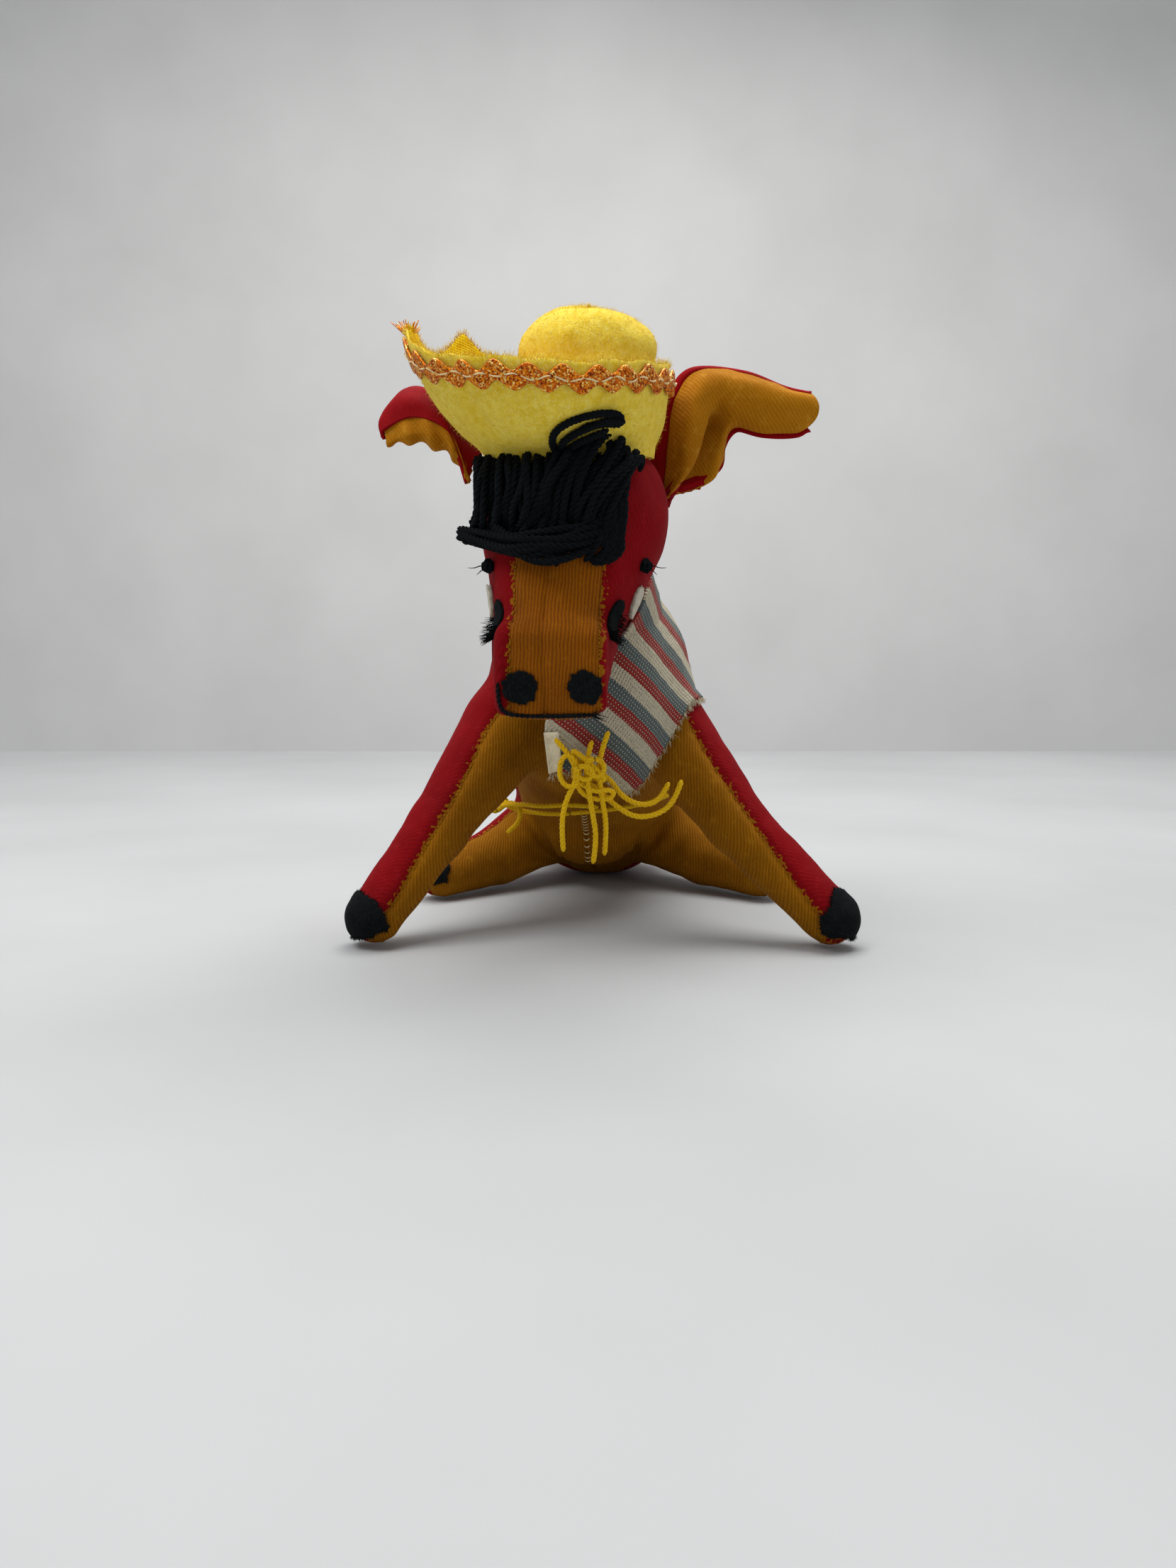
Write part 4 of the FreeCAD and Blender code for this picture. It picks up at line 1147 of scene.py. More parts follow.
def make_forelock():
    parts = []
    vary = chance.uniform
    for index in range(34):                                   # ground layer, so that no cloth shows
        x = -28.5 + index + vary(-0.4, 0.4)
        low = 97.5 + vary(-2.0, 2.0) + 4 * (x < -25)
        parts.append(fall([(x, 116), (x - 0.4, 109), (x - 1.4, 102), (x - 2.0, low)],
                          [0.9, 2.0, 1.8, 1.0], fuzz=3))
    for index in range(17):                                   # short loops on the donkey's right
        x = -28.0 + index * 1.15 + vary(-0.4, 0.4)
        low = 101.5 + vary(-3.0, 3.0)
        up = vary(2.2, 5.4)
        parts.append(fall([(x + 0.6, 116), (x + 0.4, 112.5), (x, 106), (x - 0.8, low + 1),
                           (x - 1.6, low - 0.6)],
                          [1.4, up + 1.0, up + 1.2, up, up * 0.4]))
    for index in range(22):                                   # long fall from the donkey's left over the brow
        x = -11.4 + index * 0.76 + vary(-0.6, 0.6)
        top = 123.5 - abs(index - 11) * 0.55 + vary(-1, 0.6)
        drop = vary(18, 25)
        sweep = vary(3.5, 8.0)
        up = vary(3.6, 6.6)
        parts.append(fall([(x + 2.2, min(top - 6, 113.5)), (x + 2.8, top - 3), (x + 1.2, top - 6.5),
                           (x - sweep * 0.5, top - drop * 0.55), (x - sweep, top - drop * 0.85),
                           (x - sweep * 1.1, max(top - drop, 94.5 + vary(0, 3)))],
                          [1.2, up + 1.4, up + 2.0, up + 1.0, up * 0.7, 1.4]))
    for _ in range(20):                                       # flat tuft across to the donkey's right
        start = (vary(-5, 2.5), 99 + vary(-4.0, 3.0))
        end = (-32.4 + vary(-1.6, 9.0), 100.6 + vary(-4.0, 1.8))
        sag = vary(1.0, 4.6)
        up = vary(2.0, 4.4)
        parts.append(fall([start, (start[0] - 6, start[1] - sag), (-15, 96.8 - sag + vary(-1, 1.5)),
                           (-22.5, 96.8 - sag * 0.5 + vary(-1, 1.5)), end],
                          [up * 0.6, up + 0.6, up + 1, up, 1.8], fuzz=9))
    for index in range(16):                                   # cut tips over the top of the face
        x = (-12.5 if index % 2 else -1.5) + vary(-3, 3)
        z = 98 + vary(-2, 3)
        end = (x + vary(-5, 2.5), 91.0 + vary(-0.8, 5.5))
        up = vary(1.4, 3.4)
        middle = ((x + end[0]) / 2 + 1.0, (z + end[1]) / 2 + 0.5)
        parts.append(fall([(x, z), middle, end], [up, up + 0.8, 1.0]))
    for _ in range(11):                                       # curl beside the donkey's left eye
        x = -0.6 + vary(-1.6, 2.2)
        parts.append(fall([(x + 2, 111), (x + 2.6, 104), (x + 1.8, 97.5), (x + 1.2, 93.4),
                           (x - 1.6 + vary(-1, 1), 91.4)],
                          [2.5, 4.0, 3.0, 2.0, 1.4]))
    points, faces = join(parts)
    points[:, 1] = np.maximum(points[:, 1], -153.5)
    piece("forelock_yarn", points, faces, BLACK_YARN, "body", "black_yarn", ["forelock"])


def make_mane():
    parts = []
    for row in range(11):
        for column in range(5):
            y = -92 + row * 2.1 + chance.uniform(-0.6, 0.6)
            x = -9.6 + column * 1.35 + chance.uniform(-0.3, 0.3)
            foot = np.array([x, y, 130.0])
            for _ in range(40):
                foot = foot - np.array([0, 0, 1]) * body_distance(foot[None, :])[0] * 0.8
            side = (column - 2) * 0.7
            tip = foot + (side * 1.5, 1.6 + chance.uniform(-0.6, 0.6), 3.6 + chance.uniform(-0.8, 0.6))
            back = foot + (side * 2.0, 2.6, 0.6)
            loop = [foot, foot + (side, 0.2, 3.0), tip, back + (0, 0.6, 1.8), back]
            parts.append(strand(loop, YARN_R, 2.8, fuzz=2))
    points, faces = join(parts)
    piece("mane_yarn", points, faces, BLACK_YARN, "body", "black_yarn", ["mane"])


def make_tail():
    line = even(nurbs_line(TAIL_ROUTE), 0.5)
    tangent, side, up = frames_along(line)
    around = 14
    angle = np.linspace(0, 2 * math.pi, around, endpoint=False)
    rows = []
    for index, place in enumerate(line):
        ripple = 1.5 + 0.08 * math.sin(index * 0.9)
        ring = [place + (side[index] * math.cos(a) + up[index] * math.sin(a))
                * (ripple - 0.25 * (abs(a - 3.0) < 0.25)) for a in angle]
        rows.append(ring)
    points = np.array(rows).reshape(-1, 3)
    faces = grid_faces(len(line), around, closed_columns=True)
    faces += [tuple(range(around))[::-1], tuple(range(len(points) - around, len(points)))]
    piece("tail_cord", points, faces, RED_PLAIN, "tail", "red_velveteen", ["tail"])
    parts = []
    tip = np.array(TAIL_ROUTE[-1], float)
    for index in range(26):
        turn = index * 2.4
        wide = 0.6 + 2.1 * math.sqrt((index + 0.5) / 26)
        out = np.array([math.cos(turn), math.sin(turn), 0])
        drop = chance.uniform(14.5, 17.6)
        route = [tip + (0, 0, 0.6), tip + out * wide * 0.5 + (0, 0, -2.0),
                 tip + out * wide + (0, 0, -drop * 0.5), tip + out * wide * 1.15 + (0, 0, -drop * 0.8),
                 tip + out * wide * 0.8 + (0, 0, -drop)]
        parts.append(strand(route, YARN_R, 2.8, fuzz=4))
    wrap = [tip + (1.7 * math.cos(a), 1.7 * math.sin(a), -1.4 - a * 0.12) for a in np.linspace(0, 12, 30)]
    parts.append(strand(wrap, 0.4, 1.6, 2))
    points, faces = join(parts)
    piece("tail_tuft_yarn", points, faces, BLACK_YARN, "tail", "black_yarn", ["tail_tuft"])


# ---------------------------------------------------------------- ears
EAR_LEFT_GRID = [
    [(13.2, -110, 107.0), (13.6, -110.8, 107.2), (14.4, -110, 107.6), (15.2, -108, 108.6),
     (16.6, -106.5, 109.6), (18.0, -105.5, 111.0)],
    [(14.3, -109, 115), (17.6, -113.4, 113.5), (20.9, -112, 116.4), (20.4, -106.0, 118),
     (24.6, -107.5, 112.9), (27.4, -104.5, 116.4)],
    [(15.0, -108.5, 124), (19.0, -114.4, 123), (23.2, -112, 124.0), (22.6, -104.8, 125),
     (27.0, -107.4, 119.6), (28.8, -104, 121.6)],
    [(16.6, -108.5, 132.4), (20.8, -113.8, 131.0), (24.6, -111.4, 128.4), (25.4, -105.0, 127.6),
     (28.6, -107, 124.8), (29.6, -104.5, 124.6)],
    [(21.6, -108.6, 138.2), (25.0, -112.4, 136), (27.4, -113.2, 132.5), (28.6, -111.0, 129.0),
     (30.6, -109.4, 126.6), (31.6, -107, 125.4)],
    [(32.4, -109, 137.8), (33.6, -112.8, 134.8), (34.8, -113.4, 131.4), (35.6, -112.2, 128.0),
     (36.6, -111.0, 125.2), (37.2, -109, 123.8)],
    [(42.0, -109.6, 134.2), (42.8, -112.6, 132.4), (43.4, -113.2, 129.8), (43.8, -112.6, 127),
     (44.2, -111.4, 124.6), (44.4, -109.8, 123.6)],
    [(48.0, -110.4, 132.8), (49.0, -111.2, 131.6), (49.7, -111.5, 129.8), (49.6, -111.3, 127.8),
     (48.8, -110.9, 126.2), (47.4, -110.4, 124.8)],
]
EAR_LEFT_BAND = [(12.9, -109.4, 107), (10.6, -107.0, 115.6), (12.0, -106.4, 124), (14.6, -106.8, 133.2),
                 (20.2, -107.6, 139.2), (32.6, -108.2, 138.4), (42.2, -109, 134.7), (48.2, -110, 133.1)]
EAR_LEFT_LOWER = [(18.4, -105, 110.6), (27.6, -103.8, 115.8), (29.1, -103.2, 121.4), (30.4, -103.9, 123.9),
                  (31.8, -106.2, 124.6), (37.2, -108.2, 122.9), (44.8, -109.2, 122.8), (48.0, -110, 124.4)]
EAR_RIGHT_GRID = [
    [(-29.5, -100, 121), (-30.6, -104, 119), (-31.6, -107, 116), (-32.4, -109, 112.5)],
    [(-36.5, -97, 131.5), (-37.5, -102, 130), (-37.8, -106.6, 127.2), (-36.4, -108.2, 123.6)],
    [(-43.5, -95, 137.2), (-44.4, -100, 136), (-44.0, -105.5, 132.2), (-42.0, -107.6, 127.4)],
    [(-48.4, -95, 137.4), (-50.0, -99.5, 135.2), (-49.8, -104, 131.8), (-47.6, -106.0, 127.8)],
    [(-51.6, -96, 133.2), (-53.4, -99, 130.8), (-54.0, -102.4, 128.2), (-53.2, -104.0, 125.2)],
    [(-52.8, -98, 126.4), (-53.6, -100, 125.2), (-53.9, -102, 124.4), (-53.2, -103.2, 123.4)],
]
EAR_RIGHT_LINING = [
    [(-32.0, -108.8, 113.0), (-32.6, -108.4, 112.4), (-33.0, -106.6, 112.6), (-32.0, -103.5, 115.5)],
    [(-36.2, -107.8, 124.0), (-35.2, -108.4, 119.2), (-36.0, -104.8, 118.4), (-37.0, -99.5, 124.0)],
    [(-41.8, -107.2, 127.8), (-40.4, -108.2, 122.8), (-41.0, -104.0, 121.4), (-43.0, -98.5, 128.0)],
    [(-47.4, -105.6, 128.2), (-46.6, -106.8, 123.6), (-47.4, -103.2, 122.8), (-48.5, -98.8, 129.0)],
    [(-52.8, -103.6, 125.6), (-52.2, -104.2, 122.2), (-52.4, -102.4, 122.0), (-52.4, -100.0, 125.0)],
]


def make_left_ear():
    grid = spread(EAR_LEFT_GRID, 70, 60)
    normals = sheet_normals(grid)
    if normals[35, 20, 1] > 0:
        normals = -normals
    soft = wrinkle(grid.reshape(-1, 3), 4.0, 6.0).reshape(grid.shape[:2]) * 0.3
    grid = grid + normals * soft[..., None]
    points, faces = thick_sheet(grid, normals, 0.0, -FABRIC)
    lining = piece("ear_left_lining_cloth", points, faces, GOLD_LIT_EAR, "ear_left", "gold_velveteen",
                   ["ear_lining_left"])
    back = grid - normals * (FABRIC + 0.15)
    band = line_of(EAR_LEFT_BAND, 70)
    lower = line_of(EAR_LEFT_LOWER, 70)
    left = np.stack([band * (1 - t) + back[:, 0] * t + np.array([0, -0.9, 0]) * math.sin(t * math.pi)
                     for t in np.linspace(0, 1, 10)[:-1]], axis=1)
    right = np.stack([back[:, -1] * (1 - t) + lower * t for t in np.linspace(0, 1, 5)[1:]], axis=1)
    whole = np.concatenate([left, back, right], axis=1)
    normals = sheet_normals(whole)
    if normals[35, 30, 1] > 0:
        normals = -normals
    points, faces = thick_sheet(whole, normals, 0.0, -FABRIC)
    red = piece("ear_left_back_cloth", points, faces, RED_PLAIN, "ear_left", "red_velveteen",
                ["ear_back_left"])


def line_of(control, count):
    """Smooth line of points through a few control points."""
    return spread([[point, point] for point in control], count, 2)[:, 0]


def make_right_ear():
    grid = spread(EAR_RIGHT_GRID, 60, 40)
    normals = sheet_normals(grid)
    if normals[30, 20, 2] < 0:
        normals = -normals
    soft = wrinkle(grid.reshape(-1, 3), 5.0, 2.0).reshape(grid.shape[:2]) * 0.5
    grid = grid + normals * soft[..., None]
    points, faces = thick_sheet(grid, normals, 0.0, -FABRIC)
    red = piece("ear_right_back_cloth", points, faces, RED_PLAIN, "ear_right", "red_velveteen",
                ["ear_back_right"])
    grid = spread(EAR_RIGHT_LINING, 90, 40)
    normals = sheet_normals(grid)
    if normals[45, 14, 1] > 0:
        normals = -normals
    rows = np.linspace(0, 1, 90)[:, None]
    across = np.linspace(0, 1, 40)[None, :]
    pleats = np.sin(rows * 26 + across * 2.2) * 0.75 * np.sin(across * math.pi)
    pleats = pleats * np.sin(rows * math.pi) ** 0.5
    grid = grid + normals * pleats[..., None]
    points, faces = thick_sheet(grid, normals, 0.0, -FABRIC)
    lining = piece("ear_right_lining_cloth", points, faces, GOLD_LIT_EAR, "ear_right", "gold_velveteen",
                   ["ear_lining_right"])


# ---------------------------------------------------------------- hat
def tilted(points, tilt, centre):
    forward, sideways = (math.radians(angle) for angle in tilt)
    x, y, z = points[..., 0], points[..., 1], points[..., 2]
    y, z = y * math.cos(forward) - z * math.sin(forward), y * math.sin(forward) + z * math.cos(forward)
    x, z = x * math.cos(sideways) + z * math.sin(sideways), -x * math.sin(sideways) + z * math.cos(sideways)
    return np.stack([x, y, z], axis=-1) + np.array(centre)


def bump_at(angle, middle, width, height, sharp=2.0):
    """Smooth hill on a circle of angles in degrees."""
    off = np.abs((angle - middle + 180) % 360 - 180) / width
    return height * np.exp(-off ** sharp)


def brim_point(angle, share, out=0.0):
    """Place on the brim: angle in degrees (0 on the donkey's left, -90 in front), share up its slope."""
    turn = np.radians(angle)
    share = np.asarray(share, float)
    belly = np.sin(np.clip(share, 0, 1) * math.pi) ** 0.8
    spots = []
    for axes, tilt, centre in ((BRIM_LOW_AXES, BRIM_LOW_TILT, BRIM_LOW_CENTRE),
                               (BRIM_TOP_AXES, BRIM_TOP_TILT, BRIM_TOP_CENTRE)):
        ring = np.stack([np.cos(turn) * (axes[0] + out), np.sin(turn) * (axes[1] + out),
                         np.zeros_like(turn)], axis=-1)
        spots.append(tilted(ring, tilt, centre))
    place = spots[0] * (1 - share)[..., None] + spots[1] * share[..., None]
    away = spots[1] - spots[0]
    away[..., 2] = 0
    away /= np.linalg.norm(away, axis=-1, keepdims=True) + 1e-9
    front = bump_at(angle, -90, 60, 1.0)
    bulge = 1.3 + 1.5 * front
    place = place + away * (belly * bulge)[..., None]
    place[..., 2] -= belly * (0.8 + 1.6 * front)
    rise = bump_at(angle, 184, 25, 5.2, 3.0) + bump_at(angle, 131, 12, 7.0, 1.3) - bump_at(angle, 153, 8, 1.2)
    rise += bump_at(angle, -20, 24, 1.4) - bump_at(angle, -100, 26, 0.9) + bump_at(angle, 60, 30, 1.2)
    rise += 0.35 * np.sin(turn * 7 + 1) + 0.25 * np.sin(turn * 17)
    place[..., 2] += rise * np.clip(share, 0, 1.1) ** 2.2
    curl = bump_at(angle, 184, 20, 1.4) * np.clip(share, 0, 1) ** 4
    place = place - away * curl[..., None]
    crease = bump_at(angle, -122, 5.5, 1.5) * np.clip(share, 0, 1) * (1.15 - np.clip(share, 0, 1))
    place = place - away * (crease * 2.2)[..., None]
    return place


def scattered_hairs(grid, normals, count, length, thickness):
    """Fine fibres that stand off a sheet."""
    rows, columns = grid.shape[:2]
    roots = []
    ways = []
    for _ in range(count):
        row = chance.randrange(rows)
        column = chance.randrange(columns)
        roots.append(grid[row, column])
        ways.append(normals[row, column] * 0.8)
    return bristles(roots, ways, length, thickness, spread_by=0.6)


def ring_shell(outer, inner):
    """Closed ring between two grids whose columns go round and meet."""
    rows, columns = outer.shape[:2]
    faces = grid_faces(rows, columns, closed_columns=True)
    total = rows * columns
    under = [tuple(index + total for index in face[::-1]) for face in faces]
    sides = []
    for column in range(columns):
        beside = (column + 1) % columns
        sides.append((beside, column, column + total, beside + total))
        last = (rows - 1) * columns
        sides.append((last + column, last + beside, last + beside + total, last + column + total))
    return np.concatenate([outer.reshape(-1, 3), inner.reshape(-1, 3)]), faces + under + sides


def ring_normals(grid):
    """Outward directions of a grid whose columns go round."""
    across = np.roll(grid, -1, axis=1) - np.roll(grid, 1, axis=1)
    down = np.gradient(grid, axis=0)
    normal = np.cross(across, down)
    normal /= np.linalg.norm(normal, axis=2, keepdims=True) + 1e-9
    middle = grid.reshape(-1, 3).mean(axis=0)
    if (normal * (grid - middle)).sum() < 0:
        normal = -normal
    return normal


def make_brim():
    angles = np.linspace(0, 360, 300, endpoint=False)
    shares = np.linspace(-0.16, 1.0, 34)
    grid = np.stack([brim_point(angles, np.full(len(angles), share)) for share in shares])
    rough = np.array([0.25 * noise.noise(Vector((math.cos(a) * 18, math.sin(a) * 18, 1)))
                      for a in np.radians(angles)])
    grid[-1, :, 2] += rough * 1.4
    normals = ring_normals(grid)
    soft = wrinkle(grid.reshape(-1, 3), 6.0, 1.0).reshape(grid.shape[:2]) * 0.35
    grid = grid + normals * soft[..., None]
    points, faces = ring_shell(grid, grid - normals * 0.55)
    rim_roots = [grid[-1, index] for index in range(0, 300) for _ in range(5)]
    rim_ways = [np.array([0, 0, 0.8]) + normals[-1, index] * 0.3 for index in range(0, 300) for _ in range(5)]
    rim = bristles(rim_roots, rim_ways, (0.5, 1.7), 0.035, spread_by=0.7)
    hairs = scattered_hairs(grid[4:], normals[4:], 2600, (0.4, 1.1), 0.028)
    points, faces = join([(points, faces), rim, hairs])
    piece("hat_brim_felt", points, faces, HAT_FELT, "hat", "yellow_hat_felt", ["hat_brim"])
    points, faces = ring_shell(grid - normals * 0.56, grid - normals * 1.1)
    fringe_roots = []
    fringe_ways = []
    for index in range(300):
        wild = 1 + 5 * int(112 < index * 1.2 < 196)
        for _ in range(2 * wild):
            fringe_roots.append(grid[-1, index] - normals[-1, index] * 0.8)
            fringe_ways.append(np.array([0, 0, 1.0]))
    fringe = bristles(fringe_roots, fringe_ways, (0.6, 2.0), 0.05, spread_by=0.4)
    points, faces = join([(points, faces), fringe])
    piece("hat_brim_inside", points, faces, HAT_INNER, "hat", "yellow_hat_felt")


def crown_radius(height):
    if height <= CROWN_SHOULDER_Z:
        return CROWN_BASE_R + (CROWN_SHOULDER_R - CROWN_BASE_R) * height / CROWN_SHOULDER_Z
    rise = CROWN_HEIGHT - CROWN_SHOULDER_Z
    return CROWN_SHOULDER_R * max(1 - ((height - CROWN_SHOULDER_Z) / rise) ** 2.5, 0) ** 0.5


def make_crown():
    columns = 150
    heights = np.concatenate([np.linspace(0, CROWN_SHOULDER_Z, 22),
                              CROWN_SHOULDER_Z + (CROWN_HEIGHT - CROWN_SHOULDER_Z)
                              * np.sin(np.linspace(0.06, math.pi / 2 - 0.01, 34))])
    angles = np.linspace(0, 2 * math.pi, columns, endpoint=False)
    grid = []
    for height in heights:
        radius = crown_radius(height)
        grid.append(np.stack([np.cos(angles) * radius, np.sin(angles) * radius,
                              np.full(columns, height)], axis=1))
    grid = np.array(grid)
    share = np.clip(grid[..., 2] / CROWN_HEIGHT, 0, 1)
    grid[..., 0] += 5.6 * share ** 0.8
    peak = np.clip((grid[..., 2] - 24) / 11, 0, 1)
    grid[..., 2] -= peak * np.clip(grid[..., 0] - 2, -4, 18) * 0.16
    grid[..., 0] -= peak ** 3 * 2.0
    grid = tilted(grid, (CROWN_TILT, 0), HAT_BASE)
    normals = ring_normals(grid)
    flat = grid.reshape(-1, 3)
    ridge_at = flat[:, 1] + 121 - 0.35 * (flat[:, 0] + 4) - 0.02 * (flat[:, 0] + 4) ** 2
    ridge = 0.55 * np.exp(-(ridge_at / 0.9) ** 2) - 0.5 * np.exp(-((ridge_at + 1.6) / 0.8) ** 2)
    dents = wrinkle(flat, 9.0, 3.0) * 0.9 + wrinkle(flat, 3.2, 7.0) * 0.22
    lumps = (dents + ridge * np.clip((flat[:, 2] - 132) / 8, 0, 1)).reshape(grid.shape[:2])
    grid = grid + normals * lumps[..., None]
    points, faces = ring_shell(grid, grid - normals * 1.0)
    last = (len(heights) - 1) * columns
    top = len(points)
    points = np.concatenate([points, [grid[-1].mean(axis=0) + (0, 0, 0.05)]])
    faces += [(last + c, last + (c + 1) % columns, top) for c in range(columns)]
    hairs = scattered_hairs(grid[12:], normals[12:], 3400, (0.4, 1.2), 0.028)
    points, faces = join([(points, faces), hairs])
    piece("hat_crown_felt", points, faces, HAT_FELT, "hat", "yellow_hat_felt", ["hat_crown"])


def make_trim():
    angles = np.linspace(0, 360, 1160, endpoint=False)
    middle = (TRIM_LOW + TRIM_HIGH) / 2
    half = (TRIM_HIGH - TRIM_LOW) / 2
    wave = np.sin(np.radians(angles) * TRIM_WAVES)
    parts = []
    for lane in range(7):
        off = (lane - 3) / 3
        height = middle + half * (0.36 * wave + 0.66 * off)
        line = brim_point(angles, height, 0.75 + 0.12 * (1 - off * off))
        parts.append(skin(line, 0.34, 6, closed=True))
    for lane in range(2):
        phase = np.radians(angles) * TRIM_WAVES * 4
        height = middle + half * (0.36 * wave + 0.62 * np.sin(phase + lane * math.pi))
        line = brim_point(angles, height, 1.0)
        parts.append(skin(line, 0.2, 5, closed=True))
    points, faces = join(parts)
    piece("hat_rickrack", points, faces, GLITTER, "hat", "metallic_trim", ["hat_trim"])
    parts = []
    for index in range(58):
        start = index * 360 / 58
        spots = np.linspace(start, start + 4.9, 8)
        sway = 0.018 * np.sin(np.radians(spots) * TRIM_WAVES + 2.6)
        arch = 1.05 + 0.4 * np.sin(np.linspace(0, math.pi, 8))
        line = np.array([brim_point(np.array([a]), np.array([middle + s]), o)[0]
                         for a, s, o in zip(spots, sway, arch)])
        parts.append(twist(line, 0.22, 0.9, 2, around=5))
    points, faces = join(parts)
    piece("hat_stitches_thread", points, faces, CREAM_THREAD, "hat", "cream_thread", ["hat_trim_stitches"])
    parts = []
    for _ in range(46):
        angle = 180 + chance.uniform(-5, 5)
        foot = brim_point(np.array([angle]), np.array([0.97]), 0.0)[0]
        away = np.array([-0.3 + chance.gauss(0, 0.5), chance.gauss(0, 0.5), 1.0])
        tip = foot + away * chance.uniform(2.0, 3.4)
        parts.append(skin(np.array([foot, foot + away * 1.4, tip]), 0.12, 4))
    points, faces = join(parts)
    piece("hat_rickrack_end", points, faces, GLITTER, "hat", "metallic_trim")


def make_brim_yarn():
    """Two yarn ends that lie over the front of the brim."""
    routes = [[(-13.6, -0.04), (-13.0, 0.12), (-9.6, 0.32), (-4.0, 0.46), (2.4, 0.53), (6.8, 0.52),
               (8.2, 0.46), (7.4, 0.40), (3.0, 0.42), (-3.0, 0.36)],
              [(-12.4, -0.04), (-10.4, 0.12), (-5.6, 0.27), (-0.6, 0.38), (4.0, 0.45), (7.8, 0.43)],
              [(-10.0, -0.02), (-7.4, 0.10), (-3.2, 0.20), (1.0, 0.29), (3.4, 0.34)]]
    parts = []
    for number, route in enumerate(routes):
        places = []
        for x, share in route:
            angle = -90 + (x + 12) * 1.9
            places.append(brim_point(np.array([angle]), np.array([share]), 1.0 + 0.5 * number)[0])
        parts.append(strand(places, YARN_R, 2.8, fuzz=14))
    points, faces = join(parts)
    piece("brim_yarn", points, faces, BLACK_YARN, "hat", "black_yarn")


# ---------------------------------------------------------------- blanket
BLANKET_GRID = [
    [(-13.4, -104.5, 43.2), (-13.8, -105, 47.0), (-14.2, -105.4, 50.6), (-14.6, -105.6, 54.6),
     (-13.8, -104.6, 58.6)],
    [(-3.2, -103.5, 44.0), (-4.4, -105, 50.0), (-5.4, -106, 56.0), (-6.0, -106, 62.0), (-5.0, -105, 68.0)],
    [(6.8, -101, 38.4), (6.4, -103.5, 47.0), (5.4, -105, 56.0), (4.0, -104.5, 66.0), (3.4, -103, 77.0)],
    [(14.2, -98, 47.4), (14.0, -99.5, 56.0), (12.6, -99.5, 66.0), (10.0, -99, 77.0), (7.0, -99, 89.0)],
    [(21.4, -92, 59.4), (19.8, -90, 66.0), (16.8, -89, 76.0), (12.4, -88, 86.0), (7.6, -86, 95.0)],
    [(24.6, -84, 61.0), (22.6, -79, 70.0), (20.4, -75, 79.0), (14.6, -71, 88.0), (6.0, -71, 96.0)],
    [(25.0, -74, 60.0), (23.8, -66, 69.0), (20.6, -61, 78.0), (12.6, -58, 86.0), (1.0, -61, 94.0)],
    [(25.0, -60, 58.0), (23.2, -53, 68.0), (18.0, -47, 76.0), (7.6, -45, 83.0), (-6.0, -49, 89.0)],
    [(23.6, -50, 60.0), (21.0, -42, 68.0), (13.8, -38, 74.5), (2.0, -37, 78.0), (-12.0, -42, 82.0)],
]


def make_blanket():
    grid = spread(BLANKET_GRID, 150, 84)
    rows, columns = grid.shape[:2]
    along = np.zeros((rows, columns))
    along[1:] = np.cumsum(np.linalg.norm(np.diff(grid, axis=0), axis=2), axis=0)
    across = np.zeros((rows, columns))
    across[:, 1:] = np.cumsum(np.linalg.norm(np.diff(grid, axis=1), axis=2), axis=1)
    flat = grid.reshape(-1, 3)
    for _ in range(4):
        depth = body_distance(flat)
        push = np.maximum(1.3 - depth, 0)
        flat = flat + slope(flat) * push[:, None]
    folds = wrinkle(flat, 8.0, 5.0) * 0.5 + wrinkle(flat, 2.6, 2.0) * 0.16
    grid = flat.reshape(grid.shape)
    normals = sheet_normals(grid)
    away = slope(grid.reshape(-1, 3)).reshape(grid.shape)
    if (normals * away).sum() < 0:
        normals = -normals
    grid = grid + normals * np.maximum(folds, -0.2).reshape(rows, columns)[..., None]
    pinked = np.abs(((along[:, 0] / 2.2) % 1) - 0.5) * 1.9
    down = grid[:, 0] - grid[:, 1]
    down /= np.linalg.norm(down, axis=1, keepdims=True)
    grid[:, 0] += down * pinked[:, None]
    points, faces = thick_sheet(grid, normals, 0.0, -0.85)
    roots = [grid[row, 0] - normals[row, 0] * 0.4 for row in range(rows) for _ in range(5)]
    ways = [down[row] for row in range(rows) for _ in range(5)]
    fringe = bristles(roots, ways, (0.6, 2.2), 0.075, spread_by=0.35)
    cloth = piece("blanket_cloth", points, faces, BLANKET, "body", "woven_blanket", ["blanket"])
    stripe = 0.6 * grid[..., 0] + 0.8 * grid[..., 2] + 0.35 * (grid[..., 1] + 100)
    weft = 0.8 * grid[..., 0] - 0.6 * grid[..., 2] + 0.6 * (grid[..., 1] + 100)
    mapped = np.stack([stripe, weft, np.zeros_like(weft)], axis=-1).reshape(-1, 3)
    mapped = np.concatenate([mapped, mapped]).astype(np.float32)
    cloth.data.attributes.new("flat", "FLOAT_VECTOR", "POINT").data.foreach_set("vector", mapped.ravel())
    points, faces = fringe
    threads = piece("blanket_fringe", points, faces, LABEL, "body", "woven_blanket")
    corner = [(-14.8, -106.6, 53.2), (-11.2, -106.9, 53.4), (-10.2, -106.2, 44.0), (-13.6, -105.9, 43.0)]
    tag = spread([[corner[0], corner[1]], [corner[3], corner[2]]], 16, 22)
    tag[..., 1] += 0.25 * np.sin(np.linspace(0, 5, 22))[None, :]
    normals = sheet_normals(tag)
    if normals[0, 0, 1] > 0:
        normals = -normals
    points, faces = thick_sheet(tag, normals, 0.2, -0.2)
    label = piece("blanket_label_tape", points, faces, LABEL, "body", "label_tape", ["blanket_label"])


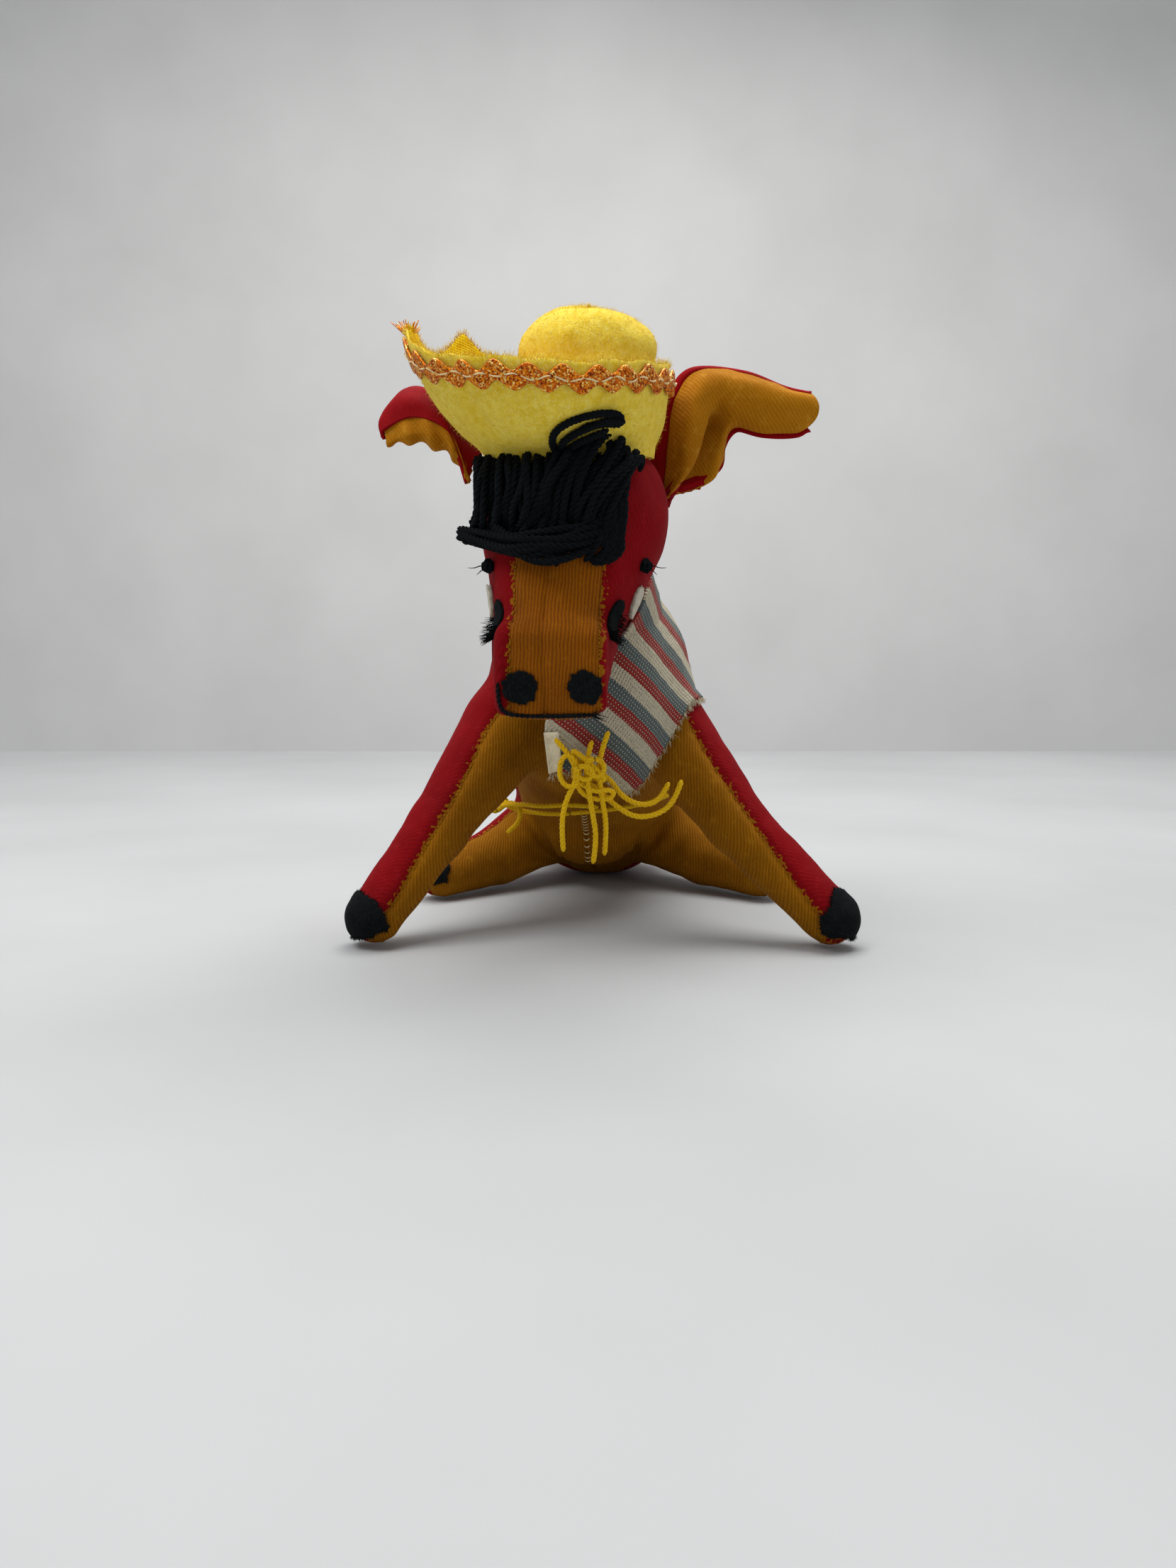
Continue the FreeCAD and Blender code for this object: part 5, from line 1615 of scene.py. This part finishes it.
def make_belly_stitches():
    axis = np.array(CHEST[0], float) - np.array(RUMP[0], float)
    length = np.linalg.norm(axis)
    axis /= length
    parts = []
    for index in range(15):
        station = 26 + index * 2.4
        middle = np.array(RUMP[0]) + axis * station + np.array([-2.9, 0, 0])
        slant = np.array([1, 0, 0]) + axis * 0.15
        slant /= np.linalg.norm(slant)
        route = []
        for share, lift in ((-0.9, -0.3), (-0.7, 0.2), (0, 0.4), (0.7, 0.2), (0.9, -0.3)):
            place = middle + slant * share
            down = np.cross(axis, (1, 0, 0))
            down = down if down[2] < 0 else -down
            for _ in range(30):
                place = place - down * (body_distance(place[None, :])[0] - lift)
            route.append(place)
        parts.append(strand(route, 0.3, 1.2, 2))
    points, faces = join(parts)
    piece("belly_stitches_thread", points, faces, CREAM_THREAD, "body", "cream_thread", ["belly_stitches"])


# ---------------------------------------------------------------- surroundings
def make_surroundings():
    table = raw_object("table_top", [(-900, -700, 0), (900, -700, 0), (900, 520, 0), (-900, 520, 0)],
                       [(0, 1, 2, 3)])
    table.data.materials.append(floor_material("table_white", linear(180, 181, 181), linear(172, 173, 173)))
    wall = raw_object("wall", [(-2500, 900, -600), (2500, 900, -600), (2500, 900, 2200), (-2500, 900, 2200)],
                      [(0, 1, 2, 3)])
    wall.data.materials.append(floor_material("wall_grey", linear(222, 221, 219), linear(214, 213, 211)))
    world = bpy.data.worlds.new("room")
    world.use_nodes = True
    world.node_tree.nodes["Background"].inputs[0].default_value = (0.78, 0.8, 0.83, 1)
    world.node_tree.nodes["Background"].inputs[1].default_value = 0.44
    bpy.context.scene.world = world
    lamps = [("window", (-0.4, -0.3, 0.8), 0.5, 4.8), ("ceiling", (0.12, 0.12, 0.95), 0.7, 9.6),
             ("fill", (0.7, -0.6, 0.35), 0.5, 0.8)]
    for name, place, size, power in lamps:
        data = bpy.data.lights.new(name, "AREA")
        data.energy = power
        data.size = size
        lamp = bpy.data.objects.new(name, data)
        lamp.location = place
        lamp.rotation_euler = (Vector((0, -0.07, 0.06)) - Vector(place)).to_track_quat("-Z", "Y").to_euler()
        bpy.context.collection.objects.link(lamp)
    bpy.context.scene.view_settings.view_transform = "Standard"


set_camera()
make_cords()
make_knots()
surface = make_body()
seam_fuzz(*surface[:4])
make_stuffing()
make_hooves()
make_face()
make_forelock()
make_mane()
make_tail()
make_left_ear()
make_right_ear()
make_brim()
make_crown()
make_trim()
make_brim_yarn()
make_blanket()
make_belly_stitches()
make_surroundings()
